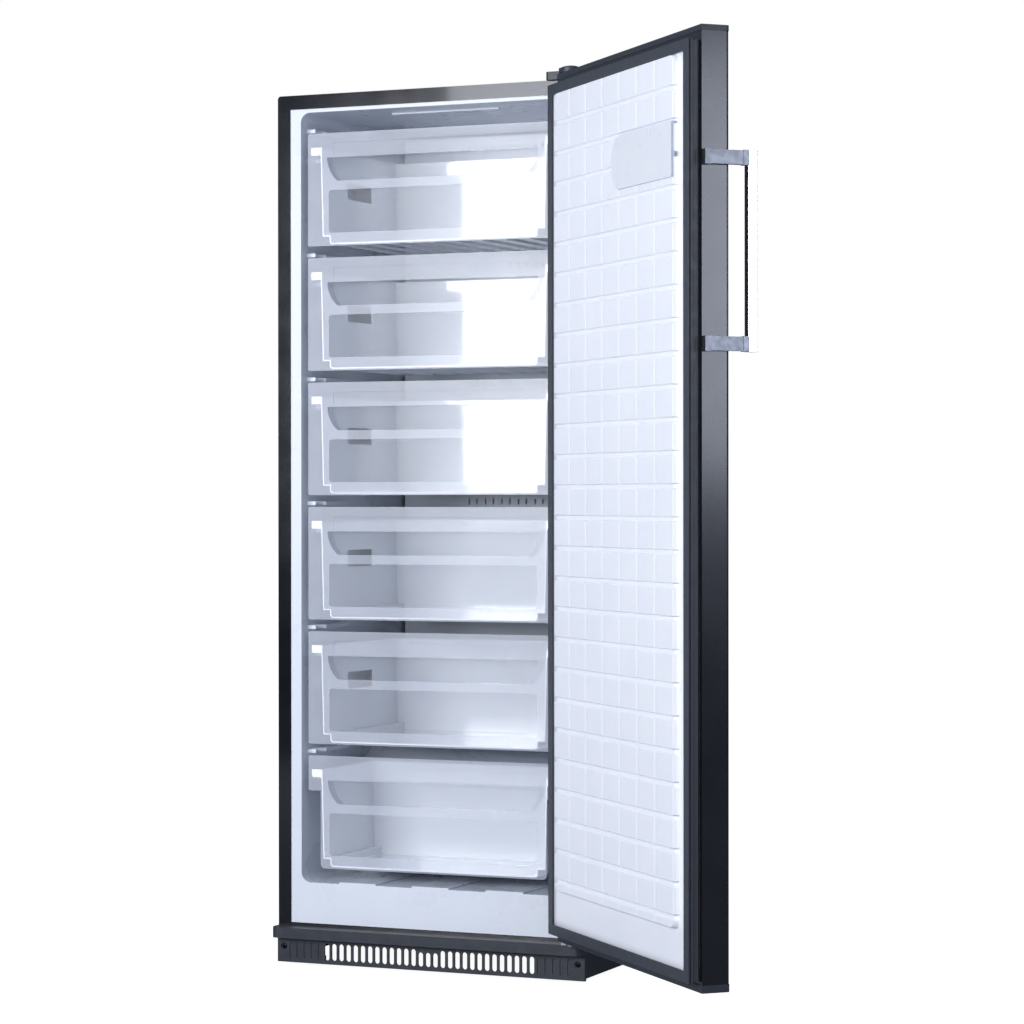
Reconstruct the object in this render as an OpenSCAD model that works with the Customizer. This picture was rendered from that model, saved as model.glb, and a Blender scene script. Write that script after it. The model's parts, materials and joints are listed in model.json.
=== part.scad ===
// Upright freezer with one side-hinged door and six pull-out drawers.
// Millimetres. X runs across the front, Y into the cabinet, Z up. The floor is Z = 0.
// The origin is on the floor, under the middle of the cabinet's front flange.
// The door is drawn closed and then turned about its hinge pin by door_open.

/* [Cabinet] */
// Width of the cabinet and of the door
body_w = 600; // [580:1:720]
// Height of the cabinet's top above the floor
body_top = 1560; // [1540:1:1900]
// Depth of the cabinet from the front flange to the back sheet
body_d = 565; // [560:1:680]
// Height of the underside of the cabinet above the floor
body_z0 = 68; // [64:1:80]
// Thickness of the painted steel sheet
sheet_t = 1; // [0.8:0.1:1.5]
// Width of the steel flange round the front
flange_w = 25.5; // [20:0.5:30]
// Width of the steel flange along the foot of the front
flange_foot_w = 8; // [5:0.5:12]

/* [Inner liner] */
// Half the width of the space for the drawers
cavity_half_w = 254; // [250:1:256]
// Height of the liner's floor above the floor of the room
cavity_z0 = 148.5; // [140:0.5:152]
// Distance from the cabinet's top down to the liner's ceiling
cavity_top_gap = 32; // [30:1:60]
// Wall of the plastic liner
liner_t = 2; // [1.5:0.1:2.5]
// Depth of the liner's back wall behind the flange
cavity_d = 500; // [490:1:500]
// Depth of the air duct panel behind the flange
duct_y = 420; // [410:1:440]
// Depth of the step over the compressor, at the bottom
step_y = 232; // [228:1:240]
// Height of the step's front edge
step_z = 345; // [340:1:350]
// Height of the step at the liner's back wall
step_back_z = 463; // [450:1:470]
// Radius of the corners of the liner's mouth
mouth_r = 18; // [10:1:24]

/* [Drawers] */
// Width of a drawer's front
front_w = 488; // [470:1:490]
// Height of a drawer's front
front_h = 202; // [195:1:204]
// Distance from one drawer to the next
drawer_pitch = 223; // [218:1:224]
// Height of the lowest drawer's front above the floor
drawer_z0 = 174; // [168:1:176]
// How far the drawer fronts stand behind the flange
front_y = 9; // [8:0.5:12]
// Thickness of the clear front
front_t = 3; // [2.5:0.1:4]
// Length of the tubs of the five upper drawers
tub_l = 306; // [280:1:360]
// Length of the tub of the lowest drawer, in front of the step
low_tub_l = 206; // [180:1:208]
// Wall of a tub
tub_t = 2.2; // [1.8:0.1:3]
// Length of the slot in a tub's side
side_slot_l = 102; // [60:1:120]

/* [Door] */
// Angle by which the door stands open
door_open = 134.25; // [90:0.25:134.25]
// Thickness of the steel door panel
door_t = 46.5; // [40:0.5:52]
// Gap between the panel's inner edge and the flange, which the seal fills
door_gap = 22; // [21:0.5:26]
// Height of the door's underside
door_z0 = 78; // [76:0.5:84]
// How far the door's top stands above the cabinet's top
door_rise = 3; // [2:0.5:6]
// Distance of the hinge pin from the side of the cabinet
pin_in = 12; // [11:0.5:14]
// Distance of the hinge pin in front of the flange
pin_out = 42; // [40:0.5:46]
// Radius of the hinge pins
pin_r = 4; // [3:0.5:5]

/* [Handle] */
// Height of the handle's lower end above the floor
handle_z0 = 1062; // [900:1:1120]
// Length of the handle bar
handle_l = 310; // [200:1:330]
// Side of the square handle bar
handle_s = 16; // [12:1:20]
// Clear space between the door and the handle bar
handle_gap = 28.5; // [24:0.5:40]

/* [Plinth] */
// Height of the plinth's lower edge above the floor
floor_gap = 5; // [3:0.5:8]
// How far the ledge stands out in front
ledge_out = 32.3; // [28:0.5:36]
// Number of the plinth's open slots
slot_n = 29; // [9:2:29]
// Distance between the plinth's slots
slot_pitch = 14.2; // [13.5:0.1:14.3]

/* [Hidden] */
$fn = 64;
eps = 0.01;
seat = 0.3;      // gap between pieces that face each other without touching
run = 0.05;      // radial clearance of a pin or a shaft in its hole
DRAWERS = 6;

half_w = body_w / 2;
wrap_r = 6;                 // round upper corners of the wrap
back_y = body_d - sheet_t;
cavity_top = body_top - cavity_top_gap;
opening_half = half_w - flange_w;
opening_z0 = body_z0 + flange_foot_w;
opening_z1 = body_top - flange_w;
land_h = 3;                 // raised lands of the liner's floor
slope = (step_back_z - step_z) / (cavity_d - step_y);

foam_step = 45;             // insulation over the compressor
bay_y = step_y + liner_t + 56;      // front wall of the compressor bay
bay_z = step_z - foam_step;
bay_back_z = step_back_z - foam_step + 20;
bay_slope = (bay_back_z - bay_z) / (back_y - bay_y);

rim_out = 19;               // how far the rim stands out from a tub's side
rim_h = 14;
rim_z = 163;                // underside of the rim above the front's lower edge
tub_half = 220;             // half a tub's width at the rim
tub_low_half = 216;         // the same at the foot of the side wall
tub_foot_half = 202;        // the same below the notch
notch_z = 17;
tub_z = 3;
rail_h = 8;
rail_half = tub_half + 3;
rail_y0 = front_y + 50;
guide_y0 = front_y + 16;
rail_end = duct_y - 12;
grip_half = 205;            // finger grip of a drawer front
grip_z0 = 116;
grip_z1 = 158;
grip_r = 54;
grip_d = 20;
window_half = 202;
window_z0 = 23.5;
window_z1 = 99.5;
band_half = 193;
band_z1 = 184;
ear_z = 139;                // underside of the lowest front's ears
drawer_travel = tub_l - 76;
low_travel = low_tub_l - 66;

pin_x = half_w - pin_in;
pin_y = -pin_out;
door_in = -door_gap;                // inner edge of the steel panel
door_out = door_in - door_t;        // outer face of the door
door_top = body_top + door_rise;
cap_h = 9;
foot_cap_h = 12;
cap_over = 0.8;
panel_r = 5;
seal_in = 6;                // the seal's outer edge, inside the door's edge
seal_w = 18;
seal_face = 1.2;            // gap between the seal's face and the flange
seal_top = door_top - 21.5;
seal_foot = door_z0 + 15;
flange_rise = 16.5;         // liner border of the door, above the panel's edge
pad_rise = 27;
pad_x0 = -half_w + 48;      // side of the quilted pad next to the handle
pad_x1 = half_w - 50;
pad_z0 = door_z0 + 93.5;
pad_z1 = door_top - 40.5;
pad_t = 6;
pad_r = 14;
row_z0 = 18.2;
row_pitch = 51.25;
row_n = 26;
col_n = 7;
groove_w = 9;
groove_foot_w = 4.4;
groove_d = 3.5;
fine_w = 3.5;
fine_d = 0.9;
shield_r = 45;              // round end of the smooth shield on the pad
shield_h = 86;
shield_z = 1376;            // height of its middle
shield_x = pin_x - 294;
bush_r = 7;

bracket_t = 9;
bracket_h = 22;
handle_y = door_out - handle_gap;   // face of the bar towards the door
handle_x = -half_w + 8;             // face of the bar towards the hinge

ledge_z1 = 69.9;
ledge_h = 19;
plinth_y = -8;
plinth_half = half_w - 2;
plinth_t = 3;
slot_w = 9.5;
slot_z0 = 12;
slot_z1 = 42;
blind_n = 5;
screw_x = half_w - 15;
screw_z = 33;

base_half = half_w - 4;
base_t = 2;
foot_x = half_w - 50;
foot_y = 50;
foot_r = 18;
stud_r = 5;
roller_r = 17;
roller_w = 18;
roller_y = body_d - 48;
axle_r = 3;
deck_z = 26;                // top of the compressor's carrier plate

hinge_t = 3;
arm_z = door_top + 1.8;
arm_r = 12;
cover_x0 = half_w - 74;
cover_z1 = body_top + 14;
cover_t = 1.8;
dome_r = 21;

fan_x = 0;
fan_z = 1180;
fan_r = 52;
coil_z0 = 860;
coil_h = 180;
coil_half = 190;
coil_y = duct_y + 22;
coil_d = 46;

gland_x = -half_w + 70;
gland_z = 45;

comp_x = -60;
comp_y = bay_y + 130;
comp_r = 78;

GRAPHITE = "#24262c";
PLASTIC_DARK = "#3d414b";
WHITE = "#e6eaf4";
CLEAR = "#cfd8ea";
STEEL = "#a9adb4";
COPPER = "#b4693c";
FOAM = "#e0d3a2";
RUBBER = "#2e3138";

// ---------- shared shapes ----------

// A box between two corners.
module span(x0, x1, y0, y1, z0, z1) {
    translate([x0, y0, z0]) cube([x1 - x0, y1 - y0, z1 - z0]);
}

// A rectangle between two corners with round corners.
module round_rect(x0, x1, z0, z1, r) {
    translate([x0 + r, z0]) square([x1 - x0 - 2 * r, z1 - z0]);
    translate([x0, z0 + r]) square([x1 - x0, z1 - z0 - 2 * r]);
    for (x = [x0 + r, x1 - r], z = [z0 + r, z1 - r]) translate([x, z]) circle(r);
}

// Stands a flat outline drawn in X and Z up, from y0 back to y1.
module front_slab(y0, y1) {
    translate([0, y1, 0]) rotate([90, 0, 0]) linear_extrude(y1 - y0) children();
}

// Turns an outline drawn in Y and Z into a bar across X.
module cross_slab(x0, x1) {
    translate([x0, 0, 0]) rotate([90, 0, 90]) linear_extrude(x1 - x0) children();
}

// A rod from one point to another.
module rod(a, b, r) {
    d = b - a;
    len = norm(d);
    translate(a) rotate([0, acos(d[2] / len), atan2(d[1], d[0])]) cylinder(h = len, r = r);
}

// A bent pipe through a list of points.
module pipe(points, r) {
    for (i = [0 : len(points) - 2]) rod(points[i], points[i + 1], r);
    for (i = [1 : len(points) - 2]) translate(points[i]) sphere(r * 1.15);
}

// A screw with a pan head: the head's seat is at the origin and the head points along +Z.
module screw(head_r, head_h, shank_r, shank_l) {
    difference() {
        cylinder(h = head_h, r = head_r);
        translate([0, 0, head_h * 0.4]) rotate([0, 0, 45]) {
            translate([-head_r * 0.6, -0.6, 0]) cube([head_r * 1.2, 1.2, head_h]);
            translate([-0.6, -head_r * 0.6, 0]) cube([1.2, head_r * 1.2, head_h]);
        }
    }
    translate([0, 0, -shank_l]) cylinder(h = shank_l + eps, r = shank_r);
}

// ---------- cabinet ----------

module cabinet_shell() color(GRAPHITE)
difference() {
    front_slab(0, back_y) {
        round_rect(-half_w, half_w, body_top - 40, body_top, wrap_r);
        translate([-half_w, body_z0]) square([body_w, body_top - body_z0 - 20]);
    }
    front_slab(sheet_t, body_d) {
        round_rect(-half_w + sheet_t, half_w - sheet_t, body_top - 40, body_top - sheet_t, wrap_r - sheet_t);
        translate([-half_w + sheet_t, body_z0 - 1]) square([body_w - 2 * sheet_t, body_top - body_z0 - 19]);
    }
    span(-opening_half, opening_half, -1, sheet_t + 1, opening_z0, opening_z1);
    for (x = [half_w - 58, half_w - 34, half_w - 14])
        translate([x, 40, body_top - 5]) cylinder(h = 10, r = 2.5 + run);
    for (x = [pin_x - 14, pin_x + 4])
        translate([x, -1, opening_z0 - 4]) rotate([-90, 0, 0]) cylinder(h = 5, r = 1.5 + run);
}

// Back sheet with two long pressed ribs.
module cabinet_back() color(GRAPHITE)
difference() {
    union() {
        span(-half_w + seat, half_w - seat, back_y, body_d, bay_back_z, body_top - seat);
        for (x = [-110, 90])
            span(x, x + 20, body_d - eps, body_d + 2, bay_back_z + 80, body_top - 80);
    }
    for (p = back_screw_spots())
        translate([p[0], back_y - 1, p[1]]) rotate([-90, 0, 0]) cylinder(h = 5, r = 1.6 + run);
}

function back_screw_spots() = [
    for (x = [-half_w + 12, 0, half_w - 12], z = [bay_back_z + 12, body_top - 12]) [x, z]];

module back_screws() color(STEEL)
for (p = back_screw_spots())
    translate([p[0], body_d, p[1]]) rotate([-90, 0, 0]) screw(4, 2, 1.6, 10);

// Side view of the drawer space from y0 backwards, grown outwards by g.
function cavity_side(g, y0) = [
    [y0, cavity_z0 - g], [y0, cavity_top + g], [cavity_d + g, cavity_top + g],
    [cavity_d + g, step_back_z + g * slope - g * sqrt(1 + slope * slope)],
    [step_y + g, step_z + g * slope - g * sqrt(1 + slope * slope)], [step_y + g, cavity_z0 - g]];

module cavity_solid(g, y0) {
    intersection() {
        front_slab(y0, cavity_d + g + 1)
            round_rect(-cavity_half_w - g, cavity_half_w + g, cavity_z0 - g, cavity_top + g, mouth_r + g);
        cross_slab(-cavity_half_w - g, cavity_half_w + g) polygon(cavity_side(g, y0));
    }
}

// Side view of the compressor bay.
function bay_side(g) = [
    [bay_y - g, body_z0 - 5], [bay_y - g, bay_z + g], [body_d + 5, bay_back_z + g + 5 * bay_slope],
    [body_d + 5, body_z0 - 5]];

module cabinet_foam() color(FOAM)
difference() {
    front_slab(sheet_t + liner_t + seat, back_y - seat) {
        round_rect(-half_w + sheet_t + seat, half_w - sheet_t - seat, body_top - 40,
                   body_top - sheet_t - seat, wrap_r - sheet_t - seat);
        translate([-half_w + sheet_t + seat, body_z0 + seat])
            square([body_w - 2 * (sheet_t + seat), body_top - body_z0 - 20]);
    }
    cavity_solid(liner_t + seat, 0);
    cross_slab(-half_w, half_w) polygon(bay_side(sheet_t + seat));
    for (p = back_screw_spots())
        translate([p[0], back_y - 12, p[1]]) rotate([-90, 0, 0]) cylinder(h = 14, r = 3);
    for (x = [half_w - 58, half_w - 34, half_w - 14])
        translate([x, 40, body_top - 16]) cylinder(h = 17, r = 4);
    for (x = [pin_x - 14, pin_x + 4])
        translate([x, 0, opening_z0 - 4]) rotate([-90, 0, 0]) cylinder(h = 14, r = 3);
    translate([half_w - 90, bay_y + 60, bay_z - 20]) cylinder(h = step_back_z - bay_z + 40, r = 14);
}

function drawer_z(n) = drawer_z0 + (DRAWERS - 1 - n) * drawer_pitch;

// Ribs on both liner walls: the rail under a drawer's rim, and a short guide above its front.
module drawer_rails(n) {
    z = drawer_z(n);
    rail_stop = n == DRAWERS - 1 ? step_y - 6 : rail_end;
    for (side = [0, 1]) mirror([side, 0, 0]) {
        span(rail_half, cavity_half_w + eps, rail_y0, rail_stop, z + rim_z - seat - rail_h, z + rim_z - seat);
        difference() {
            span(cavity_half_w - 18, cavity_half_w + eps, guide_y0, guide_y0 + 130,
                 z + front_h + 3, z + front_h + 10);
            translate([cavity_half_w - 18, guide_y0, z + front_h + 2]) rotate([0, 0, 50])
                translate([-30, -1, 0]) cube([60, 30, 10]);
        }
    }
}

module inner_liner() color(WHITE)
union() {
    difference() {
        union() {
            cavity_solid(liner_t, sheet_t);
            span(-opening_half - 12, opening_half + 12, sheet_t, sheet_t + liner_t,
                 body_z0 + seat, opening_z1 + 12);
        }
        cavity_solid(0, -1);
        for (x = [pin_x - 14, pin_x + 4])
            translate([x, 0, opening_z0 - 4]) rotate([-90, 0, 0]) cylinder(h = 6, r = 3);
    }
    for (x = [-36, 107, -179]) span(x, x + 72, sheet_t, step_y - 4, cavity_z0 - eps, cavity_z0 + land_h);
    span(-105, 105, 67, 71, cavity_top - 3, cavity_top + eps);
    for (n = [0 : DRAWERS - 1]) drawer_rails(n);
}

// Moulded cover in front of the evaporator, with air outlets behind each drawer.
module duct_panel() color(WHITE)
difference() {
    union() {
        span(-cavity_half_w + 6, cavity_half_w - 6, duct_y, duct_y + 2.5,
             step_z + (duct_y - step_y) * slope + 6, cavity_top - 6);
        span(-140, 140, duct_y - 6, duct_y + eps, step_back_z + 8, cavity_top - 14);
        translate([fan_x, duct_y, fan_z]) rotate([-90, 0, 0]) cylinder(h = 14, r = fan_r + 6);
    }
    span(-137, 137, duct_y - 3.5, duct_y + 1, step_back_z + 11, cavity_top - 17);
    translate([fan_x, duct_y - 1, fan_z]) rotate([-90, 0, 0]) cylinder(h = 20, r = fan_r + 3);
    for (n = [0 : DRAWERS - 2], i = [-3 : 3], s = [-1, 1])
        span(i * 34 + s * 8 - 1.5, i * 34 + s * 8 + 1.5, duct_y - 10, duct_y + 5,
             drawer_z(n) + front_h + 4, drawer_z(n) + front_h + 14);
}

module evaporator_fins() color(STEEL)
for (i = [0 : 13])
    difference() {
        x = -coil_half + 10 + i * (2 * coil_half - 20) / 13;
        span(x - 0.5, x + 0.5, coil_y, coil_y + coil_d, coil_z0, coil_z0 + coil_h);
        for (k = [0 : 3])
            translate([x - 2, coil_y + coil_d / 2, coil_z0 + 24 + 44 * k]) rotate([0, 90, 0])
                cylinder(h = 4, r = 4 + run);
    }

// Serpentine pipe through the fins.
module evaporator_tube() color(STEEL) {
    y = coil_y + coil_d / 2;
    for (k = [0 : 3])
        rod([-coil_half, y, coil_z0 + 24 + 44 * k], [coil_half, y, coil_z0 + 24 + 44 * k], 4);
    for (k = [0 : 2]) translate([k == 1 ? -coil_half : coil_half, y, coil_z0 + 46 + 44 * k])
        rotate([90, 0, 0]) rotate([0, 0, k == 1 ? 90 : -90]) rotate_extrude(angle = 180)
            translate([22, 0]) circle(4);
}

module fan_motor() color(PLASTIC_DARK) {
    translate([fan_x, duct_y + 30, fan_z]) rotate([-90, 0, 0]) cylinder(h = 28, r = 22);
    translate([fan_x, duct_y + 8, fan_z]) rotate([-90, 0, 0]) cylinder(h = 23, r = 2.5);
    for (a = [30, 150, 270])
        translate([fan_x, duct_y + 32, fan_z]) rotate([0, a, 0]) span(18, 60, 0, 4, -4, 4);
}

module fan_blade() color(WHITE) difference() {
    union() {
        translate([fan_x, duct_y + 9, fan_z]) rotate([-90, 0, 0]) cylinder(h = 16, r = 14);
        for (a = [0 : 72 : 288])
            translate([fan_x, duct_y + 17, fan_z]) rotate([0, a, 0]) rotate([28, 0, 0])
                span(12, fan_r - 2, -0.8, 0.8, -13, 13);
    }
    translate([fan_x, duct_y + 5, fan_z]) rotate([-90, 0, 0]) cylinder(h = 30, r = 2.5 + run);
}

// Glass heater rod under the evaporator.
module defrost_heater() color(STEEL) {
    y = coil_y + coil_d / 2;
    rod([-150, y, coil_z0 - 24], [150, y, coil_z0 - 24], 5);
    for (x = [-158, 150]) rod([x, y, coil_z0 - 24], [x + 8, y, coil_z0 - 24], 8);
}

// ---------- base ----------

module base_frame() color(GRAPHITE)
difference() {
    union() {
        span(-base_half, base_half, 0, bay_y, body_z0 - base_t, body_z0);
        for (side = [0, 1]) mirror([side, 0, 0]) {
            span(base_half - base_t, base_half, 0, back_y, floor_gap + 3, body_z0);
            translate([foot_x, foot_y, 30]) cylinder(h = body_z0 - 31, r = 11);
            span(foot_x - 5 - roller_w, foot_x - 3 - roller_w, roller_y - 14, roller_y + 14, 8, deck_z);
            span(foot_x - 1, foot_x + 1, roller_y - 14, roller_y + 14, 8, deck_z);
        }
        span(-base_half, base_half, bay_y, back_y, deck_z - base_t, deck_z);
        span(-base_half, base_half, bay_y - base_t, bay_y, deck_z - base_t, body_z0);
        span(-base_half, base_half, back_y - base_t, back_y, 12, 60);
    }
    for (side = [-1, 1]) {
        translate([side * foot_x, foot_y, 20]) cylinder(h = body_z0 - 12, r = stud_r + run);
        translate([side * foot_x, roller_y, roller_r]) rotate([0, 90, 0])
            cylinder(h = 80, r = axle_r + run, center = true);
        span(side * (foot_x - 2 - roller_w / 2) - roller_w / 2 - 0.9,
             side * (foot_x - 2 - roller_w / 2) + roller_w / 2 + 0.9,
             roller_y - roller_r - 1.5, roller_y + roller_r + 1.5, deck_z - 5, deck_z + 5);
    }
    for (p = grommet_spots())
        translate([p[0], p[1], deck_z - 5]) cylinder(h = 10, r = 5.5);
    span(-150, 150, back_y - 5, back_y + 5, 30, 61);
    translate([gland_x, back_y - 5, gland_z]) rotate([-90, 0, 0]) cylinder(h = 10, r = 7.5 + seat);
}

function grommet_spots() = [for (x = [-85, 85], y = [-62, 62]) [comp_x + x, comp_y + y]];

// Bent sheet that closes the insulation off from the compressor.
module bay_bulkhead() color(STEEL)
difference() {
    cross_slab(-half_w + sheet_t + seat, half_w - sheet_t - seat) polygon(bay_side(0));
    cross_slab(-half_w, half_w) polygon(bay_side(-sheet_t));
    span(-half_w, half_w, back_y - seat, body_d + 10, 0, body_top);
    span(-half_w, half_w, 0, body_d, 0, body_z0 + seat);
    translate([half_w - 90, bay_y + 60, bay_z - 20]) cylinder(h = 200, r = 14);
}

// An upright slot with round ends.
module slot_outline(w, z0, z1) {
    translate([-w / 2, z0 + w / 2]) square([w, z1 - z0 - w]);
    for (z = [z0 + w / 2, z1 - w / 2]) translate([0, z]) circle(w / 2);
}

module plinth_grille() color(PLASTIC_DARK)
difference() {
    union() {
        difference() {
            translate([0, 0, ledge_z1 - ledge_h]) linear_extrude(ledge_h) {
                translate([-half_w + 0.5 + 12, -ledge_out]) square([body_w - 25, ledge_out]);
                translate([-half_w + 0.5, -ledge_out + 12]) square([body_w - 1, ledge_out - 12]);
                for (s = [-1, 1]) translate([s * (half_w - 12.5), -ledge_out + 12]) circle(12);
            }
            span(-half_w + 4, half_w - 4, -ledge_out + 3, plinth_y, ledge_z1 - ledge_h - 1, ledge_z1 - 3);
        }
        span(-plinth_half, plinth_half, plinth_y, plinth_y + plinth_t, floor_gap, ledge_z1 - 1);
        for (s = [-1, 1]) span(s * (plinth_half - 1) - 1, s * (plinth_half - 1) + 1,
                               plinth_y, -seat, floor_gap, ledge_z1 - 1);
        for (s = [-1, 1]) translate([s * screw_x, plinth_y + plinth_t - eps, screw_z]) rotate([-90, 0, 0])
            cylinder(h = -plinth_y - plinth_t, r = 8);
    }
    for (i = [-(slot_n - 1) / 2 : (slot_n - 1) / 2]) translate([i * slot_pitch, 0, 0])
        front_slab(plinth_y - 1, plinth_y + plinth_t + 1)
            slot_outline(slot_w, slot_z0, abs(i) <= 1 ? slot_z1 - 5 : slot_z1);
    for (i = [1 : blind_n], s = [-1, 1]) translate([s * ((slot_n - 1) / 2 + i) * slot_pitch, 0, 0])
        front_slab(plinth_y - 1, plinth_y + 1.5) slot_outline(slot_w - 1.5, slot_z0, slot_z1);
    for (s = [-1, 1]) translate([s * screw_x, plinth_y, screw_z]) rotate([-90, 0, 0]) {
        translate([0, 0, -1]) cylinder(h = 3, r = 6.5);
        cylinder(h = 20, r = 2 + run);
    }
}

module plinth_screws() color(RUBBER)
for (s = [-1, 1])
    translate([s * screw_x, plinth_y + 2, screw_z]) rotate([90, 0, 0]) screw(5, 1.8, 2, 5.5);

module levelling_foot(side) color(RUBBER)
translate([side * foot_x, foot_y, 0]) {
    cylinder(h = 10, r = foot_r);
    translate([0, 0, 9]) cylinder(h = 4, r1 = foot_r, r2 = 9);
    cylinder(h = body_z0 - 14, r = stud_r);
}

module roller(side) color(PLASTIC_DARK)
translate([side * (foot_x - 2 - roller_w / 2), roller_y, roller_r]) rotate([0, 90, 0])
difference() {
    cylinder(h = roller_w - 2, r = roller_r, center = true);
    cylinder(h = roller_w, r = axle_r + run, center = true);
    for (s = [-1, 1]) translate([0, 0, s * roller_w / 2]) difference() {
        cylinder(h = 6, r = roller_r - 4, center = true);
        cylinder(h = 8, r = axle_r + 4, center = true);
    }
}

module roller_axles() color(STEEL)
for (s = [-1, 1]) translate([s * (foot_x - 2 - roller_w / 2), roller_y, roller_r]) rotate([0, 90, 0])
    cylinder(h = roller_w + 10, r = axle_r, center = true);

// ---------- hinges ----------

module top_hinge() color(STEEL)
difference() {
    union() {
        span(half_w - 68, half_w - 6, 6, 60, body_top, body_top + hinge_t);
        span(half_w - 30, half_w - 6, 0, 12, body_top, arm_z + hinge_t);
        span(pin_x - arm_r, pin_x + arm_r - 6, pin_y, 12, arm_z, arm_z + hinge_t);
        translate([pin_x, pin_y, arm_z]) cylinder(h = hinge_t, r = arm_r);
        translate([pin_x, pin_y, door_top - cap_h + 1]) cylinder(h = arm_z - door_top + cap_h, r = pin_r);
    }
    for (x = [half_w - 58, half_w - 34, half_w - 14])
        translate([x, 40, body_top - 1]) cylinder(h = 10, r = 2.5 + run);
}

module top_hinge_screws() color(STEEL)
for (x = [half_w - 58, half_w - 34, half_w - 14])
    translate([x, 40, body_top + hinge_t]) screw(5, 3, 2.5, 14);

// Plastic cover over the hinge plate, with a round low dome over the pin.
module hinge_cover() color(PLASTIC_DARK)
difference() {
    union() {
        translate([0, 0, body_top]) linear_extrude(cover_z1 - body_top)
            round_rect(cover_x0, half_w - 1, -9, 64, 6);
        span(pin_x - dome_r, half_w - 1, pin_y, 0, arm_z - 1, cover_z1 - 3);
        translate([pin_x, pin_y, arm_z - 1]) {
            cylinder(h = cover_z1 - arm_z - 1, r = dome_r);
            translate([0, 0, cover_z1 - arm_z - 1 - eps])
                cylinder(h = 2.5, r1 = dome_r - 0.5, r2 = dome_r - 6);
            translate([0, 0, cover_z1 - arm_z + 1.5 - 2 * eps])
                cylinder(h = 1.5, r1 = dome_r - 6, r2 = dome_r - 12);
        }
    }
    span(cover_x0 + cover_t, half_w - 1 - cover_t, -9 + cover_t, 64 - cover_t,
         body_top - 1, cover_z1 - cover_t);
    span(pin_x - dome_r + cover_t, half_w - 2.8, pin_y, 2, arm_z - 2, cover_z1 - 3 - cover_t);
    translate([pin_x, pin_y, arm_z - 2]) cylinder(h = cover_z1 - 2 - arm_z, r = dome_r - cover_t);
    span(half_w - 0.5, half_w + 30, pin_y - 40, 30, body_top - 5, cover_z1 + 20);
}

module bottom_hinge() color(STEEL)
difference() {
    union() {
        span(pin_x - 20, half_w - 2, pin_y, -seat, 70.5, 74.5);
        translate([pin_x, pin_y, 70.5]) cylinder(h = 4, r = 10);
        span(pin_x - 20, half_w - 2, -3 - seat, -seat, 70.5, 84);
        translate([pin_x, pin_y, 72]) cylinder(h = door_z0 + foot_cap_h - 73, r = pin_r);
    }
    for (x = [pin_x - 14, pin_x + 4])
        translate([x, -10, opening_z0 - 4 + 8]) rotate([-90, 0, 0]) cylinder(h = 12, r = 1.5 + run);
}

module bottom_hinge_screws() color(STEEL)
for (x = [pin_x - 14, pin_x + 4])
    translate([x, -3 - seat, opening_z0 + 4]) rotate([90, 0, 0]) screw(2.8, 1.2, 1.5, 3);

// ---------- cooling ----------

module compressor() color(RUBBER)
difference() {
    union() {
        translate([comp_x, comp_y, deck_z + 14]) rotate_extrude() polygon([
            [0, 0], [comp_r - 18, 0], [comp_r - 4, 14], [comp_r - 1, 60], [comp_r - 1, 76], [comp_r + 2, 78],
            [comp_r + 2, 84], [comp_r - 3, 86], [comp_r - 6, 118], [comp_r - 22, 146], [comp_r - 46, 156],
            [0, 158]]);
        span(comp_x - 100, comp_x + 100, comp_y - 76, comp_y + 76, deck_z + 11, deck_z + 14.5);
    }
    for (p = grommet_spots()) translate([p[0], p[1], deck_z]) cylinder(h = 30, r = 7);
}

module compressor_grommets() color(PLASTIC_DARK)
for (p = grommet_spots()) translate([p[0], p[1], 0]) {
    translate([0, 0, deck_z]) cylinder(h = 10.7, r = 12);
    translate([0, 0, deck_z - 4]) cylinder(h = 24, r = 5.2);
    translate([0, 0, deck_z + 14.8]) cylinder(h = 5, r = 10);
}

module relay_box() color(RUBBER)
span(comp_x + comp_r + 4, comp_x + comp_r + 34, comp_y - 24, comp_y + 24, deck_z + 44, deck_z + 104);

// Tray on top of the compressor, where the defrost water dries off.
module drip_tray() color(RUBBER)
difference() {
    span(comp_x - 95, comp_x + 95, comp_y - 70, comp_y + 70, deck_z + 174, deck_z + 204);
    span(comp_x - 92, comp_x + 92, comp_y - 67, comp_y + 67, deck_z + 177, deck_z + 205);
}

module filter_drier() color(COPPER) {
    translate([half_w - 90, back_y - 70, deck_z + 120]) cylinder(h = 80, r = 9);
    translate([half_w - 90, back_y - 70, deck_z + 199]) cylinder(h = 12, r1 = 9, r2 = 3);
    translate([half_w - 90, back_y - 70, deck_z + 109]) cylinder(h = 12, r1 = 3, r2 = 9);
}

module suction_tube() color(COPPER)
pipe([[comp_x + comp_r + 0.5, comp_y + 50, deck_z + 60], [comp_x + comp_r + 44, comp_y + 50, deck_z + 60],
      [comp_x + comp_r + 44, comp_y + 50, deck_z + 130], [half_w - 90, comp_y + 50, deck_z + 150],
      [half_w - 90, bay_y + 60, deck_z + 170], [half_w - 90, bay_y + 60, bay_z + 40]], 4);

module discharge_tube() color(COPPER)
pipe([[comp_x - comp_r - 3, comp_y + 20, deck_z + 70], [comp_x - comp_r - 58, comp_y + 28, deck_z + 66],
      [comp_x - comp_r - 62, comp_y + 94, deck_z + 54], [comp_x - comp_r - 50, comp_y + 98, deck_z + 22],
      [half_w - 62, comp_y + 92, deck_z + 26], [half_w - 66, back_y - 74, deck_z + 62],
      [half_w - 90, back_y - 70, deck_z + 107]], 3);

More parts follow.
